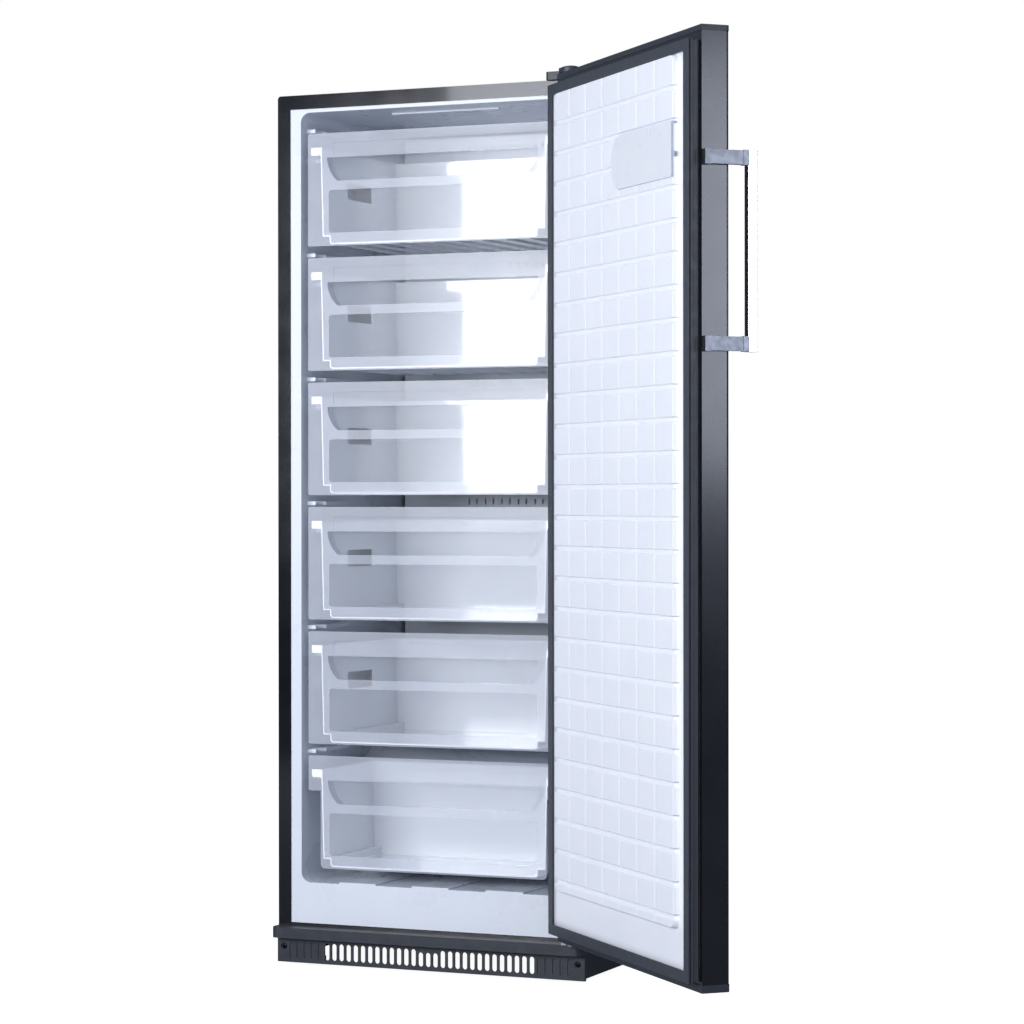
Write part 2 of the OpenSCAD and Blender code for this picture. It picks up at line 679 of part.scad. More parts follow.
// Vented plate over the back of the compressor bay.
module rear_cover() color(GRAPHITE)
difference() {
    span(-half_w + seat, half_w - seat, back_y + seat, body_d, 62, bay_back_z - seat);
    for (x = [-190 : 95 : 190], z = [120 : 16 : bay_back_z - 60])
        span(x - 36, x + 36, back_y - 1, body_d + 1, z, z + 6);
    for (x = rear_cover_screws_x())
        translate([x, back_y - 1, 74]) rotate([-90, 0, 0]) cylinder(h = 5, r = 1.6 + run);
}

function rear_cover_screws_x() = [-half_w + 12, 0, half_w - 12];

module rear_cover_screws() color(STEEL)
for (x = rear_cover_screws_x())
    translate([x, body_d, 74]) rotate([-90, 0, 0]) screw(4, 2, 1.6, 8);

// Strain relief where the mains lead goes in.
module cord_gland() color(RUBBER)
difference() {
    union() {
        translate([gland_x, back_y - 6, gland_z]) rotate([-90, 0, 0]) cylinder(h = 3.6, r = 12);
        translate([gland_x, back_y + 0.3, gland_z]) rotate([-90, 0, 0]) cylinder(h = 10, r = 10);
        translate([gland_x, back_y - 8, gland_z]) rotate([-90, 0, 0]) cylinder(h = 12, r = 7.5);
    }
    translate([gland_x, back_y - 20, gland_z]) rotate([-90, 0, 0]) cylinder(h = 40, r = 4);
}

// ---------- door, drawn closed ----------

module hang() {
    translate([pin_x, pin_y, 0]) rotate([0, 0, door_open]) translate([-pin_x, -pin_y, 0]) children();
}

// Plan of the door between an inset and the hem.
module door_plan(g) {
    round_rect(-half_w + g, half_w - g, door_out + g, door_out + 30, panel_r - g);
    translate([-half_w + g, door_out + 15]) square([body_w - 2 * g, door_t - 15 - g]);
}

module door_panel() color(GRAPHITE) hang()
difference() {
    translate([0, 0, door_z0 + 3]) linear_extrude(door_top - door_z0 - 6) door_plan(0);
    translate([0, 0, door_z0]) linear_extrude(door_top - door_z0) door_plan(sheet_t);
    span(-half_w + seal_in + 4, half_w - seal_in - 4, door_in - 5, door_in + 5,
         seal_foot + 4, seal_top - 4);
    for (z = bracket_levels()) for (y = bracket_screws())
        translate([-half_w - 5, y, z + bracket_h / 2]) rotate([0, 90, 0]) cylinder(h = 10, r = 2 + run);
}

// A cap over an end of the panel: a lid with a skirt round the outside.
module door_cap(z0, z1, lid_z0, lid_z1) {
    difference() {
        translate([0, 0, z0]) linear_extrude(z1 - z0) door_plan(-cap_over);
        difference() {
            translate([0, 0, z0 - 1]) linear_extrude(z1 - z0 + 2) door_plan(-0.1);
            translate([0, 0, lid_z0]) linear_extrude(lid_z1 - lid_z0) door_plan(-0.2);
        }
    }
}

module door_top_cap() color(PLASTIC_DARK) hang()
difference() {
    union() {
        door_cap(door_top - cap_h, door_top, door_top - 2.8, door_top + 2);
        translate([pin_x, pin_y, door_top - cap_h]) cylinder(h = cap_h, r = bush_r + 2.5);
    }
    translate([pin_x, pin_y, door_top - 20]) cylinder(h = 30, r = bush_r);
}

module door_bottom_cap() color(PLASTIC_DARK) hang()
difference() {
    union() {
        door_cap(door_z0, door_z0 + foot_cap_h, door_z0 - 2, door_z0 + 2.8);
        translate([pin_x, pin_y, door_z0]) cylinder(h = foot_cap_h, r = bush_r + 2.5);
    }
    translate([pin_x, pin_y, door_z0 - 10]) cylinder(h = 30, r = bush_r);
}

module door_bushes() color(WHITE) hang()
for (z = [[door_z0 + 0.2, foot_cap_h], [door_top - cap_h, cap_h - 0.2]])
    translate([pin_x, pin_y, z[0]]) difference() {
        cylinder(h = z[1] - 0.2, r = bush_r);
        translate([0, 0, -1]) cylinder(h = z[1] + 2, r = pin_r + run);
    }

module door_foam() color(FOAM) hang()
difference() {
    translate([0, 0, door_z0 + foot_cap_h + 2]) linear_extrude(door_top - cap_h - door_z0 - foot_cap_h - 4)
        door_plan(sheet_t + seat);
    span(-half_w, half_w, door_in - sheet_t - liner_t - 2 * seat, door_in + 5, door_z0, door_top);
    for (z = bracket_levels()) for (y = bracket_screws())
        translate([-half_w - 5, y, z + bracket_h / 2]) rotate([0, 90, 0]) cylinder(h = 24, r = 5);
}

// A ring round the inside of the door: from its outer inset to its inner inset.
module door_ring(out, inn, h0, h1) {
    difference() {
        span(-half_w + out, half_w - out, door_in + h0, door_in + h1,
             seal_foot - seal_in + out, seal_top + seal_in - out);
        span(-half_w + inn, half_w - inn, door_in + h0 - 1, door_in + h1 + 1,
             seal_foot - seal_in + inn, seal_top + seal_in - inn);
    }
}

function row_z(i) = pad_z0 + row_z0 + i * row_pitch;
function col_x(i) = pad_x0 + i * (pad_x1 - pad_x0) / col_n;

// Smooth shield with a round end, on the pad.
module shield(g, rise) {
    intersection() {
        span(pad_x0, shield_x, door_in + pad_rise - pad_t, door_in + pad_rise + rise,
             shield_z - shield_h / 2 - g, shield_z + shield_h / 2 + g);
        union() {
            span(pad_x0, shield_x - shield_r, door_in, door_in + pad_rise + 5, 0, door_top);
            translate([shield_x - shield_r, door_in, shield_z]) rotate([-90, 0, 0])
                cylinder(h = pad_rise + 5, r = shield_r + g);
        }
    }
}

module door_liner() color(WHITE) hang()
difference() {
    union() {
        door_ring(seal_in + 4.5, seal_in + 6.5, -sheet_t - liner_t, flange_rise);
        span(-half_w + 10.5, half_w - 10.5, door_in + flange_rise - liner_t, door_in + flange_rise,
             seal_foot + 4.5, seal_top - 4.5);
        difference() {
            front_slab(door_in + flange_rise - eps, door_in + pad_rise)
                round_rect(pad_x0, pad_x1, pad_z0, pad_z1, pad_r);
            for (i = [0 : row_n - 1]) translate([0, door_in + pad_rise, row_z(i)])
                cross_slab(pad_x0 - 1, pad_x1 + 1) polygon([
                    [1, groove_w / 2 + 1], [1, -groove_w / 2 - 1], [-groove_d, -groove_foot_w / 2],
                    [-groove_d, groove_foot_w / 2]]);
            for (i = [1 : col_n - 1])
                span(col_x(i) - fine_w / 2, col_x(i) + fine_w / 2,
                     door_in + pad_rise - fine_d, door_in + pad_rise + 1, pad_z0 - 1, pad_z1 + 1);
        }
        shield(0, 1.2);
    }
    span(pad_x0 + pad_t, pad_x1 - pad_t, door_in + flange_rise - liner_t - 1, door_in + pad_rise - pad_t,
         pad_z0 + pad_t, pad_z1 - pad_t);
}

// Magnetic seal: skirt, bellows and the flat face that meets the flange.
module door_gasket() color(RUBBER) hang()
union() {
    door_ring(seal_in + 2.5, seal_in + 4.2, 1, 15.8);
    door_ring(seal_in + 1.2, seal_in + 4.2, 3.4, 5);
    door_ring(seal_in + 0.3, seal_in + 4.2, 12.6, 15.4);
    door_ring(seal_in + 3, seal_in + 4.2, 15.8 - eps, 16.8);
    door_ring(seal_in + 3, seal_in + seal_w - 1, 16.8 - eps, 18.8);
    door_ring(seal_in, seal_in + seal_w, 18.8 - eps, door_gap - seal_face);
}

// ---------- handle ----------

function bracket_levels() = [handle_z0 + 1, handle_z0 + handle_l - bracket_h - 1];
function bracket_screws() = [door_in - 14, door_in - 34];

module handle_bar() color(STEEL) hang()
difference() {
    translate([0, 0, handle_z0]) linear_extrude(handle_l)
        round_rect(handle_x - handle_s, handle_x, handle_y - handle_s, handle_y, 2);
    for (z = bracket_levels())
        span(handle_x - handle_s + 3, -half_w + 0.1, handle_y - handle_s / 2, handle_y + 5,
             z - 0.1, z + bracket_h + 0.1);
}

// Arm from the door's side out to the bar, with a thicker foot and a thicker end.
module handle_bracket(z) {
    z1 = z + bracket_h;
    difference() {
        union() {
            span(-half_w - bracket_t, -half_w, handle_y + 0.2, door_in - 1.5, z, z1);
            span(-half_w - bracket_t - 1.2, -half_w, door_in - 12.5, door_in - 1.5, z - 0.8, z1 + 0.8);
            span(-half_w - bracket_t - 1.2, -half_w + 1, handle_y + 0.2, handle_y + 9, z - 0.8, z1 + 0.8);
            span(handle_x - handle_s + 3.2, -half_w, handle_y - handle_s / 2 + 0.2, handle_y + 1, z, z1);
        }
        for (y = bracket_screws()) translate([-half_w - bracket_t + 2, y, z + bracket_h / 2])
            rotate([0, 90, 0]) cylinder(h = 20, r = 2 + run);
    }
}

module handle_bracket_lower() color(STEEL) hang() handle_bracket(bracket_levels()[0]);
module handle_bracket_upper() color(STEEL) hang() handle_bracket(bracket_levels()[1]);

// Put in from inside the panel, so that no head shows.
module handle_screws() color(STEEL) hang()
for (z = bracket_levels()) for (y = bracket_screws())
    translate([-half_w + sheet_t, y, z + bracket_h / 2]) rotate([0, 90, 0])
        screw(4, 2.5, 2, bracket_t + sheet_t - 2.5);

// ---------- drawers ----------

// Half of a tub's outline, from the middle of the floor to the rim, inset by t.
function tub_half_outline(t, top) = [
    [tub_foot_half - 4 - t / 2, tub_z + t], [tub_foot_half - t, tub_z + 4 + t / 2],
    [tub_foot_half - t, notch_z + t], [tub_low_half - t, notch_z + t], [tub_half - t, top]];

module tub_outline(t, top) {
    right = tub_half_outline(t, top);
    polygon(concat(right, [for (i = [len(right) - 1 : -1 : 0]) [-right[i][0], right[i][1]]]));
}

function tub_len(n) = n == DRAWERS - 1 ? low_tub_l : tub_l;

// White tub, open in front, with a hollow rim along each side.
module drawer_tub(n) color(WHITE)
translate([0, front_y + front_t, drawer_z(n)]) {
    l = tub_len(n);
    difference() {
        front_slab(0, l) tub_outline(0, rim_z + rim_h);
        front_slab(-1, l - tub_t) tub_outline(tub_t, rim_z + rim_h + 1);
        if (n < DRAWERS - 1)
            span(-half_w, half_w, 100, 100 + side_slot_l, 93, 123);
    }
    for (side = [0, 1]) mirror([side, 0, 0]) difference() {
        span(tub_half - 1, tub_half + rim_out, 0, l, rim_z, rim_z + rim_h);
        span(tub_half - 2, tub_half + rim_out - 2, 2, l - 2, rim_z - 1, rim_z + rim_h - 2);
    }
    for (x = [-184 : 46 : 184]) span(x - 1, x + 1, 8, l - 8, 0.6, tub_z + eps);
}

// Outline of a drawer's front. The lowest one is narrower below its ears.
module front_outline(n) {
    if (n < DRAWERS - 1) round_rect(-front_w / 2, front_w / 2, 0, front_h, 3);
    else {
        round_rect(-front_w / 2, front_w / 2, ear_z, front_h, 3);
        round_rect(-tub_half, tub_half, 0, ear_z + 10, 8);
    }
}

module grip_outline(g) {
    intersection() {
        translate([-grip_half - g, grip_z0 - g]) square([2 * (grip_half + g), grip_z1 - grip_z0 + 2 * g]);
        union() {
            translate([-grip_half + grip_r, 0]) square([2 * (grip_half - grip_r), front_h]);
            for (s = [-1, 1]) translate([s * (grip_half - grip_r), grip_z1]) circle(grip_r + g);
        }
    }
}

// Clear front with a finger grip, a sunk window and a sunk band.
module drawer_front(n) color(CLEAR)
translate([0, front_y, drawer_z(n)])
difference() {
    union() {
        front_slab(0, front_t) front_outline(n);
        front_slab(front_t - eps, front_t + grip_d) grip_outline(2);
        span(-front_w / 2 + 4, front_w / 2 - 4, front_t - eps, front_t + 4, front_h - 2, front_h);
    }
    front_slab(-1, front_t + grip_d - 2) grip_outline(0);
    front_slab(-1, 0.8) round_rect(-window_half, window_half, window_z0, window_z1, 5);
    front_slab(-1, 0.5) translate([-band_half, grip_z1 + 4]) square([2 * band_half, band_z1 - grip_z1 - 4]);
}

cabinet_shell();
cabinet_back();
back_screws();
cabinet_foam();
inner_liner();
duct_panel();
evaporator_fins();
evaporator_tube();
fan_motor();
fan_blade();
defrost_heater();
base_frame();
bay_bulkhead();
plinth_grille();
plinth_screws();
levelling_foot(-1);  // foot_left
levelling_foot(1);  // foot_right
roller(-1);  // roller_left
roller(1);  // roller_right
roller_axles();
top_hinge();
top_hinge_screws();
hinge_cover();
bottom_hinge();
bottom_hinge_screws();
compressor();
compressor_grommets();
relay_box();
drip_tray();
filter_drier();
suction_tube();
discharge_tube();
rear_cover();
rear_cover_screws();
cord_gland();
door_panel();
door_top_cap();
door_bottom_cap();
door_foam();
door_liner();
door_gasket();
door_bushes();
handle_bar();
handle_bracket_upper();
handle_bracket_lower();
handle_screws();
drawer_tub(0);  // drawer_1_tub
drawer_front(0);  // drawer_1_front
drawer_tub(1);  // drawer_2_tub
drawer_front(1);  // drawer_2_front
drawer_tub(2);  // drawer_3_tub
drawer_front(2);  // drawer_3_front
drawer_tub(3);  // drawer_4_tub
drawer_front(3);  // drawer_4_front
drawer_tub(4);  // drawer_5_tub
drawer_front(4);  // drawer_5_front
drawer_tub(5);  // drawer_6_tub
drawer_front(5);  // drawer_6_front
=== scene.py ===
import json
import math
import bmesh
import bpy
from mathutils import Matrix, Vector

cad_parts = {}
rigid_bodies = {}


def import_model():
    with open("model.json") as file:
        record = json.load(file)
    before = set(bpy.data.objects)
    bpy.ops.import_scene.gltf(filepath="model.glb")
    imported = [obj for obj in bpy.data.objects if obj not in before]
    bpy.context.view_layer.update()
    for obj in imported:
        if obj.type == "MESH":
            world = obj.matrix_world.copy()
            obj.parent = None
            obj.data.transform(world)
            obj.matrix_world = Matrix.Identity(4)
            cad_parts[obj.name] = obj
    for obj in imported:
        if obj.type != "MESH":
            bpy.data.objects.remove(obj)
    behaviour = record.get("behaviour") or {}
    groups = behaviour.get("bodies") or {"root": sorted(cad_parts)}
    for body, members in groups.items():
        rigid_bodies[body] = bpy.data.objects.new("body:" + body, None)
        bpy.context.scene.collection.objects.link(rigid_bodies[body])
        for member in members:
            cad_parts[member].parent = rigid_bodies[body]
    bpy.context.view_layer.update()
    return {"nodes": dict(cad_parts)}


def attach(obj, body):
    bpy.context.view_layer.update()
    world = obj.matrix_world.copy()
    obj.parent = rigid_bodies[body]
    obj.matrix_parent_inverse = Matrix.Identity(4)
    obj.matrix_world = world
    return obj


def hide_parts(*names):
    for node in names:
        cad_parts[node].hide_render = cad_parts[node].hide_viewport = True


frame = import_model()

# ---- The room -------------------------------------------------------------------------------
# A plain studio: a matt floor that runs out of sight and looks white, like all behind it.
# The key box stands in front, to the left, so that the glossy backs of the tubs mirror it. The
# rim box greys the top flange, and the side box lights the edge of the open door.
camera_data = bpy.data.cameras.new("camera")
camera_data.sensor_width = 36
camera_data.lens = 108.31
camera = bpy.data.objects.new("camera", camera_data)
camera.location = (2.3014, -4.9157, 0.8376)
camera.rotation_euler = (math.radians(89.74), math.radians(0.05), math.radians(23.55))
bpy.context.scene.collection.objects.link(camera)
bpy.context.scene.camera = camera
bpy.context.scene.view_settings.view_transform = "Standard"


def rgba(hex_colour):
    """A colour written as sRGB hex, turned to the linear values that shaders want."""
    parts = [int(hex_colour[i:i + 2], 16) / 255 for i in (1, 3, 5)]
    return (*[c / 12.92 if c <= 0.04045 else ((c + 0.055) / 1.055) ** 2.4 for c in parts], 1.0)


def add_node(tree, kind, inputs=None, **settings):
    """A node with its settings and its inputs. An input is a value, or a socket to link from."""
    made = tree.nodes.new(kind)
    for key, value in settings.items():
        setattr(made, key, value)
    for key, value in (inputs or {}).items():
        if isinstance(value, bpy.types.NodeSocket):
            tree.links.new(value, made.inputs[key])
        else:
            made.inputs[key].default_value = value
    return made


def new_material(name):
    """An empty material and its node tree."""
    made = bpy.data.materials.new(name)
    made.use_nodes = True
    made.node_tree.nodes.clear()
    return made, made.node_tree


def soft_box(name, place, aim, width, height, watts, colour):
    """A rectangular soft light at a place, turned to what it is aimed at."""
    data = bpy.data.lights.new(name, "AREA")
    data.shape, data.size, data.size_y = "RECTANGLE", width, height
    data.energy, data.color = watts, rgba(colour)[:3]
    box = bpy.data.objects.new(name, data)
    box.location = place
    box.rotation_euler = (Vector(aim) - Vector(place)).to_track_quat("-Z", "Y").to_euler()
    bpy.context.scene.collection.objects.link(box)


soft_box("key_box", (-0.86, -4.1, 1.4), (-0.86, 0.0, 1.4), 2.64, 1.25, 150, "#fbfcff")
soft_box("rim_box", (-1.3, -4.1, 2.25), (-1.3, 0.0, 2.2), 1.1, 0.36, 9, "#f4f6ff")
soft_box("front_box", (2.6, -4.6, 2.3), (0.0, 0.3, 0.9), 1.4, 1.2, 5, "#f4f7ff")
soft_box("side_box", (4.4, -1.7, 1.5), (0.7, -0.4, 1.1), 0.8, 1.2, 30, "#eaf0ff")
soft_box("top_box", (0.3, -0.4, 4.0), (0.3, -0.2, 0.0), 2.4, 2.4, 26, "#ffffff")

# The room is white to look at, and dimmer and a little blue to what it lights.
world = bpy.data.worlds.new("studio")
bpy.context.scene.world = world
world.use_nodes = True
world.node_tree.nodes.clear()
seen = add_node(world.node_tree, "ShaderNodeBackground", {"Color": (1, 1, 1, 1), "Strength": 1.0})
lit = add_node(world.node_tree, "ShaderNodeBackground", {"Color": rgba("#bccce4"), "Strength": 0.36})
rays = add_node(world.node_tree, "ShaderNodeLightPath")
both = add_node(world.node_tree, "ShaderNodeMixShader",
                {0: rays.outputs["Is Camera Ray"], 1: lit.outputs[0], 2: seen.outputs[0]})
add_node(world.node_tree, "ShaderNodeOutputWorld", {"Surface": both.outputs[0]})

studio_floor_paint, tree = new_material("matt_floor_paint")
where = add_node(tree, "ShaderNodeTexCoord")
mottle = add_node(tree, "ShaderNodeTexNoise", {"Vector": where.outputs["Object"], "Scale": 3.0})
tint = add_node(tree, "ShaderNodeMix", {0: mottle.outputs["Fac"], 6: rgba("#8d9096"),
                                        7: rgba("#94979d")}, data_type="RGBA")
shaded = add_node(tree, "ShaderNodeBsdfDiffuse", {"Color": tint.outputs[2]})
glow = add_node(tree, "ShaderNodeEmission", {"Color": (1, 1, 1, 1), "Strength": 0.96})
lifted = add_node(tree, "ShaderNodeAddShader", {0: shaded.outputs[0], 1: glow.outputs[0]})
rays = add_node(tree, "ShaderNodeLightPath")
both = add_node(tree, "ShaderNodeMixShader",
                {0: rays.outputs["Is Camera Ray"], 1: shaded.outputs[0], 2: lifted.outputs[0]})
add_node(tree, "ShaderNodeOutputMaterial", {"Surface": both.outputs[0]})
bpy.ops.mesh.primitive_plane_add(size=60, location=(0, 0, -0.0005))
floor = bpy.context.object
floor.name = "studio_floor"
floor.data.materials.append(studio_floor_paint)


# ---- Cabinet wrap and back sheet ------------------------------------------------------------
# One folded sheet of steel goes round the sides and the top, with a narrow flange at the front.
# It is stove-painted dark graphite with a faint metal look, and its edges are rounded by 1 mm.
def surface(name, tones, blotch_mm, rough, grain_mm, bump_mm, spread=0.05, stretch=(1, 1, 1),
            cells=False, sheen=0.0, **sockets):
    """Two near tones in soft blotches, uneven gloss and a fine grain or cells, sizes in mm."""
    made, tree = new_material(name)
    where = add_node(tree, "ShaderNodeTexCoord")
    drawn = add_node(tree, "ShaderNodeMapping", {"Vector": where.outputs["Object"], "Scale": stretch})
    blotch = add_node(tree, "ShaderNodeTexNoise", {
        "Vector": drawn.outputs[0], "Scale": 1000 / blotch_mm, "Detail": 4.0})
    if cells:
        grain = add_node(tree, "ShaderNodeTexVoronoi", {
            "Vector": drawn.outputs[0], "Scale": 1000 / grain_mm})
        fine = grain.outputs["Distance"]
    else:
        grain = add_node(tree, "ShaderNodeTexNoise", {
            "Vector": drawn.outputs[0], "Scale": 1000 / grain_mm, "Detail": 3.0})
        fine = grain.outputs["Fac"]
    blend = add_node(tree, "ShaderNodeMix", {0: 0.25, 2: blotch.outputs["Fac"], 3: fine})
    tone = add_node(tree, "ShaderNodeMix", {
        0: blend.outputs[0], 6: rgba(tones[0]), 7: rgba(tones[1])}, data_type="RGBA")
    gloss = add_node(tree, "ShaderNodeMapRange", {
        "Value": blotch.outputs["Fac"], "From Min": 0.3, "From Max": 0.7,
        "To Min": rough - spread, "To Max": rough + spread})
    bump = add_node(tree, "ShaderNodeBump", {"Height": fine, "Distance": bump_mm / 1000})
    skin = add_node(tree, "ShaderNodeBsdfPrincipled", {
        "Base Color": tone.outputs[2], "Roughness": gloss.outputs["Result"],
        "Normal": bump.outputs["Normal"], "Sheen Weight": sheen, **sockets})
    add_node(tree, "ShaderNodeOutputMaterial", {"Surface": skin.outputs[0]})
    return made


def placed(name, mesh, node, finish=None):
    """A finished mesh as an object that rides with the node's body and stands for the node."""
    piece = bpy.data.objects.new(name, mesh)
    bpy.context.scene.collection.objects.link(piece)
    if finish:
        mesh.materials.clear()
        mesh.materials.append(finish)
    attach(piece, frame["nodes"][node].parent.name.split(":")[1])
    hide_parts(node)


def softened(node, edge_mm, segments=2):
    """The node's own shape with its sharp edges rounded."""
    mesh = frame["nodes"][node].data.copy()
    work = bmesh.new()
    work.from_mesh(mesh)
    bmesh.ops.remove_doubles(work, verts=work.verts, dist=0.00001)
    bmesh.ops.dissolve_limit(work, angle_limit=math.radians(1.0), verts=work.verts, edges=work.edges)
    work.to_mesh(mesh)
    work.free()
    for face in mesh.polygons:
        face.use_smooth = True
    piece = bpy.data.objects.new("work", mesh)
    bpy.context.scene.collection.objects.link(piece)
    bevel = piece.modifiers.new("edges", "BEVEL")
    bevel.width, bevel.segments = edge_mm / 1000, segments
    bevel.limit_method, bevel.angle_limit = "ANGLE", math.radians(28)
    weigh = piece.modifiers.new("even_shading", "WEIGHTED_NORMAL")
    weigh.weight, weigh.keep_sharp = 100, True
    baked = bpy.data.meshes.new_from_object(
        piece.evaluated_get(bpy.context.evaluated_depsgraph_get()))
    bpy.data.objects.remove(piece)
    return baked


graphite_paint = surface("stove_paint_graphite", ("#101216", "#181a20"), 60, 0.13, 1.2, 0.003, 0.02,
                         Metallic=0.4, **{"Coat Weight": 0.6, "Coat Roughness": 0.04})
placed("cabinet_wrap", softened("cabinet_shell", 1.0), "cabinet_shell", graphite_paint)
placed("back_sheet", softened("cabinet_back", 0.4), "cabinet_back", graphite_paint)

# ---- Screws ---------------------------------------------------------------------------------
# Zinc-plated pan-head screws with a cross recess hold the back sheet and the rear cover, and two
# black ones hold the plinth. Each was driven home at its own angle.
def grown(tree, mesh, values):
    """Runs a node tree on a mesh with the given inputs, and returns the plain mesh it makes."""
    piece = bpy.data.objects.new("work", mesh)
    bpy.context.scene.collection.objects.link(piece)
    grow = piece.modifiers.new("grow", "NODES")
    grow.node_group = tree
    for item in tree.interface.items_tree:
        if item.item_type == "SOCKET" and item.in_out == "INPUT" and item.name in values:
            grow[item.identifier] = values[item.name]
    piece.update_tag()
    baked = bpy.data.meshes.new_from_object(
        piece.evaluated_get(bpy.context.evaluated_depsgraph_get()))
    bpy.data.objects.remove(piece)
    return baked


def new_tree(name, **inputs):
    """A node tree that takes and gives geometry, with one named number input for each value."""
    tree = bpy.data.node_groups.new(name, "GeometryNodeTree")
    tree.interface.new_socket("Geometry", in_out="INPUT", socket_type="NodeSocketGeometry")
    for key, value in inputs.items():
        kind = "NodeSocketInt" if isinstance(value, int) else "NodeSocketFloat"
        made = tree.interface.new_socket(key, in_out="INPUT", socket_type=kind)
        made.default_value = value
    tree.interface.new_socket("Geometry", in_out="OUTPUT", socket_type="NodeSocketGeometry")
    return tree, add_node(tree, "NodeGroupInput").outputs


def end_tree(tree, geometry, finish):
    """Ends a tree: its instances are made real and given their finish."""
    real = add_node(tree, "GeometryNodeRealizeInstances", {"Geometry": geometry})
    dressed = add_node(tree, "GeometryNodeSetMaterial", {"Geometry": real.outputs[0], "Material": finish})
    add_node(tree, "NodeGroupOutput", {0: dressed.outputs[0]})


def joined(tree, *parts):
    """The parts as one geometry."""
    made = tree.nodes.new("GeometryNodeJoinGeometry")
    for part in parts:
        tree.links.new(part, made.inputs[0])
    return made.outputs[0]


def solids_of(node):
    """Centre, low and high corner of each separate solid in a node's mesh."""
    work = bmesh.new()
    work.from_mesh(frame["nodes"][node].data)
    bmesh.ops.remove_doubles(work, verts=work.verts, dist=0.00001)
    left, found = set(work.verts), []
    while left:
        group, edge = set(), [left.pop()]
        while edge:
            vert = edge.pop()
            group.add(vert)
            for link in vert.link_edges:
                other = link.other_vert(vert)
                if other in left:
                    left.discard(other)
                    edge.append(other)
        low = Vector([min(v.co[k] for v in group) for k in range(3)])
        high = Vector([max(v.co[k] for v in group) for k in range(3)])
        found.append(((low + high) / 2, low, high))
    work.free()
    return found


def screw_tree(name, finish):
    """Puts a low-domed screw with a cross recess on every point, each at its own turn."""
    tree, given = new_tree(name, Radius=0.004, Head=0.002, Shank=0.0016, Length=0.01, Seed=4)
    dome = add_node(tree, "GeometryNodeMeshUVSphere", {
        "Segments": 28, "Rings": 16, "Radius": given["Radius"]})
    height = add_node(tree, "ShaderNodeMath", {0: given["Head"], 1: given["Radius"]}, operation="DIVIDE")
    squash = add_node(tree, "ShaderNodeCombineXYZ", {"X": 1.0, "Y": 1.0, "Z": height.outputs[0]})
    low_dome = add_node(tree, "GeometryNodeTransform", {"Geometry": dome.outputs[0],
                                                       "Scale": squash.outputs[0]})
    long_side = add_node(tree, "ShaderNodeMath", {0: given["Radius"], 1: 1.1}, operation="MULTIPLY")
    thin_side = add_node(tree, "ShaderNodeMath", {0: given["Radius"], 1: 0.24}, operation="MULTIPLY")
    cuts = []
    for a, b in ((long_side, thin_side), (thin_side, long_side)):
        size = add_node(tree, "ShaderNodeCombineXYZ", {"X": a.outputs[0], "Y": b.outputs[0],
                                                       "Z": given["Head"]})
        blade = add_node(tree, "GeometryNodeMeshCube", {"Size": size.outputs[0]})
        lift = add_node(tree, "ShaderNodeCombineXYZ", {"Z": given["Head"]})
        cuts.append(add_node(tree, "GeometryNodeTransform", {
            "Geometry": blade.outputs[0], "Translation": lift.outputs[0]}).outputs[0])
    head = low_dome.outputs[0]
    for cut in cuts:
        made = add_node(tree, "GeometryNodeMeshBoolean", {"Mesh 1": head, "Mesh 2": cut},
                        operation="DIFFERENCE")
        head = made.outputs[0]
    shank = add_node(tree, "GeometryNodeMeshCylinder", {
        "Vertices": 20, "Radius": given["Shank"], "Depth": given["Length"]})
    half = add_node(tree, "ShaderNodeMath", {0: given["Length"], 1: -0.5}, operation="MULTIPLY")
    drop = add_node(tree, "ShaderNodeCombineXYZ", {"Z": half.outputs[0]})
    sunk = add_node(tree, "GeometryNodeTransform", {"Geometry": shank.outputs[0],
                                                   "Translation": drop.outputs[0]})
    whole = joined(tree, head, sunk.outputs[0])
    turn = add_node(tree, "FunctionNodeRandomValue", {2: 0.0, 3: 1.57, "Seed": given["Seed"]})
    spin = add_node(tree, "ShaderNodeCombineXYZ", {"Z": turn.outputs[1]})
    put = add_node(tree, "GeometryNodeInstanceOnPoints", {
        "Points": given["Geometry"], "Instance": whole, "Rotation": spin.outputs[0]})
    end_tree(tree, put.outputs[0], finish)
    return tree


def put_screws(name, node, tree, way, head_r, head_h, shank_r):
    """A screw at each solid of the node. Its head points along way."""
    way = Vector(way)
    turned = way.to_track_quat("Z", "Y").to_matrix()
    places = []
    for middle, low, high in solids_of(node):
        reach = abs((high - low).dot(way)) / 2
        places.append(turned.transposed() @ (middle + way * (reach - head_h)))
        length = 2 * reach - head_h
    mesh = bpy.data.meshes.new(name)
    mesh.from_pydata(places, [], [])
    baked = grown(tree, mesh, {"Radius": head_r, "Head": head_h, "Shank": shank_r, "Length": length,
                               "Seed": 4})
    baked.transform(turned.to_4x4())
    placed(name, baked, node)


zinc_plate = surface("zinc_plated_steel", ("#b4b7bd", "#9a9ea6"), 8, 0.34, 1.6, 0.01, 0.08, cells=True,
                     Metallic=1.0)
black_screw_paint = surface("black_oxide_steel", ("#101114", "#1b1c20"), 6, 0.4, 1.2, 0.01, Metallic=0.9)
zinc_screws = screw_tree("zinc_pan_head_screw", zinc_plate)
black_screws = screw_tree("black_pan_head_screw", black_screw_paint)
put_screws("back_sheet_screws", "back_screws", zinc_screws, (0, 1, 0), 0.004, 0.002, 0.0016)
put_screws("rear_cover_fixings", "rear_cover_screws", zinc_screws, (0, 1, 0), 0.004, 0.002, 0.0016)
put_screws("plinth_fixings", "plinth_screws", black_screws, (0, -1, 0), 0.005, 0.0018, 0.002)

